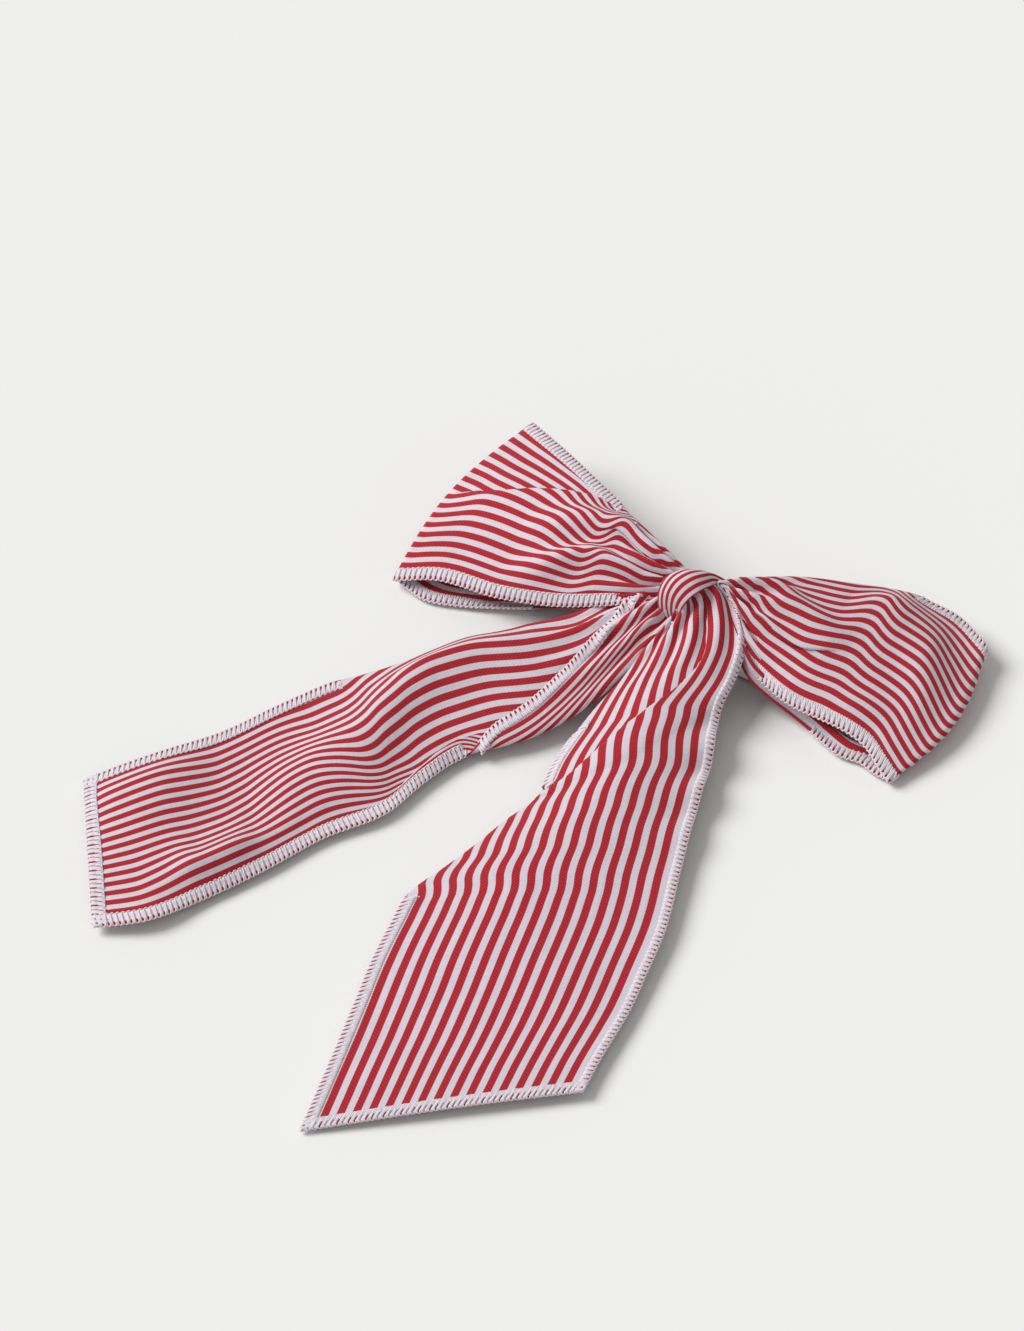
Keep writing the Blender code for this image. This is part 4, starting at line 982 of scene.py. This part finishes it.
class BOW_OT_front_tail(bpy.types.Operator):
    """Makes the front tail with its overlocked edges"""
    bl_idname = "bow.front_tail"
    bl_label = "Front tail"

    def execute(self, context):
        dress_strip("front_tail", front_tail_grid(), 1.4, 0.68)
        return {"FINISHED"}


class BOW_OT_left_loop(bpy.types.Operator):
    """Makes the left loop with its overlocked edges"""
    bl_idname = "bow.left_loop"
    bl_label = "Left loop"

    def execute(self, context):
        dress_strip("left_loop", left_loop_grid(), 0.9)
        return {"FINISHED"}


class BOW_OT_right_loop(bpy.types.Operator):
    """Makes the right loop with its overlocked edges"""
    bl_idname = "bow.right_loop"
    bl_label = "Right loop"

    def execute(self, context):
        dress_strip("right_loop", right_loop_grid(), 0.9)
        return {"FINISHED"}


class BOW_OT_knot(bpy.types.Operator):
    """Makes the cloth band round the knot"""
    bl_idname = "bow.knot"
    bl_label = "Knot"

    def execute(self, context):
        band = cloth_object("knot_wrap_cloth", wrap_grid(), 0.7, cloth_material("knot", 0.9), 32.0)
        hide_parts("knot_wrap", "knot_core")
        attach(band, "bow_and_clip")
        turns = binding_turns()
        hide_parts("binding_thread")
        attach(turns, "bow_and_clip")
        return {"FINISHED"}


class BOW_OT_clip(bpy.types.Operator):
    """Gives the clip and its thread their finishes and lays the felt on it"""
    bl_idname = "bow.clip"
    bl_label = "Clip"

    def execute(self, context):
        steel = ready_material("nickel_plated_spring_steel", nickel_plate, (40, 2600, 2600))
        metal = ("base_plate", "hinge_pin", "bar_rivet", "clasp_arm", "tension_bar", "front_release_prong",
                 "back_release_prong")
        finishes = dict.fromkeys(metal, steel)
        finishes["left_end_stitch"] = finishes["right_end_stitch"] = sewing_thread_material()
        for name, finish in finishes.items():
            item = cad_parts[name]
            item.data.materials.clear()
            item.data.materials.append(finish)
        pad = felt_pad()
        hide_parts("backing_patch")
        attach(pad, "bow_and_clip")
        return {"FINISHED"}


class BOW_OT_stage(bpy.types.Operator):
    """Makes the floor, the lights and the camera"""
    bl_idname = "bow.stage"
    bl_label = "Studio"

    def execute(self, context):
        scene = context.scene
        stage = scene.bow_stage
        mesh = bpy.data.meshes.new("table_floor")
        side = 4.0
        mesh.from_pydata([(-side, -side, 0), (side, -side, 0), (side, side, 0), (-side, side, 0)], [],
                         [(0, 1, 2, 3)])
        paper = new_material("matt_paper_floor", Base_Color=tuple(stage.floor_colour) + (1.0,), Roughness=1.0,
                             Specular_IOR_Level=0.0)[0]
        mesh.materials.append(paper)
        floor = new_object("table_floor", mesh)
        floor.location.z = -0.0002

        sun = bpy.data.lights.new("window_light", "SUN")
        sun.energy = stage.key_strength
        sun.angle = math.radians(34)
        lamp = bpy.data.objects.new("window_light", sun)
        scene.collection.objects.link(lamp)
        # from the picture's left and a little behind, half way up
        towards = Matrix.Rotation(math.radians(30), 3, "Z") @ Vector((-0.80, 0.18, 0.80))
        lamp.rotation_euler = towards.to_track_quat("Z", "Y").to_euler()

        world = bpy.data.worlds.new("room")
        scene.world = world
        world.use_nodes = True
        background = world.node_tree.nodes["Background"]
        background.inputs[0].default_value = (1.0, 1.0, 1.0, 1.0)
        background.inputs[1].default_value = stage.fill_strength

        camera = bpy.data.cameras.new("camera")
        camera.sensor_fit = "VERTICAL"
        camera.sensor_height = 36.0
        camera.lens = 165.77
        camera.clip_end = 20.0
        eye = bpy.data.objects.new("camera", camera)
        scene.collection.objects.link(eye)
        eye.location = (0.60017, -1.15633, 1.3896)
        aim = Vector((-0.04771, -0.03416, 0.0)) - eye.location
        eye.rotation_euler = aim.to_track_quat("-Z", "Y").to_euler()
        scene.camera = eye
        scene.view_settings.view_transform = "Standard"
        return {"FINISHED"}


OPERATORS = (BOW_OT_stage, BOW_OT_left_tail, BOW_OT_front_tail, BOW_OT_left_loop, BOW_OT_right_loop,
             BOW_OT_knot, BOW_OT_clip)


class BOW_PT_panel(bpy.types.Panel):
    """Lists the bow's settings and the buttons that make its pieces"""
    bl_label = "Hair Bow"
    bl_idname = "BOW_PT_panel"
    bl_space_type = "VIEW_3D"
    bl_region_type = "UI"
    bl_category = "Hair Bow"

    def draw(self, context):
        for group in SETTINGS:
            box = self.layout.box()
            for prop in SETTINGS[group].__annotations__:
                box.prop(getattr(context.scene, group), prop)
        for operator in OPERATORS:
            self.layout.operator(operator.bl_idname)


SETTINGS = {"bow_cloth": BowClothSettings, "bow_seam": BowSeamSettings, "bow_clip": BowClipSettings,
            "bow_stage": BowStageSettings}


def register():
    for group, settings in SETTINGS.items():
        bpy.utils.register_class(settings)
        setattr(bpy.types.Scene, group, PointerProperty(type=settings))
    for item in OPERATORS + (BOW_PT_panel,):
        bpy.utils.register_class(item)


def unregister():
    for item in reversed(OPERATORS + (BOW_PT_panel,)):
        bpy.utils.unregister_class(item)
    for group, settings in SETTINGS.items():
        delattr(bpy.types.Scene, group)
        bpy.utils.unregister_class(settings)


def main():
    """Makes every piece in order."""
    register()
    for operator in OPERATORS:
        group, name = operator.bl_idname.split(".")
        getattr(getattr(bpy.ops, group), name)()


if __name__ == "__main__":
    main()
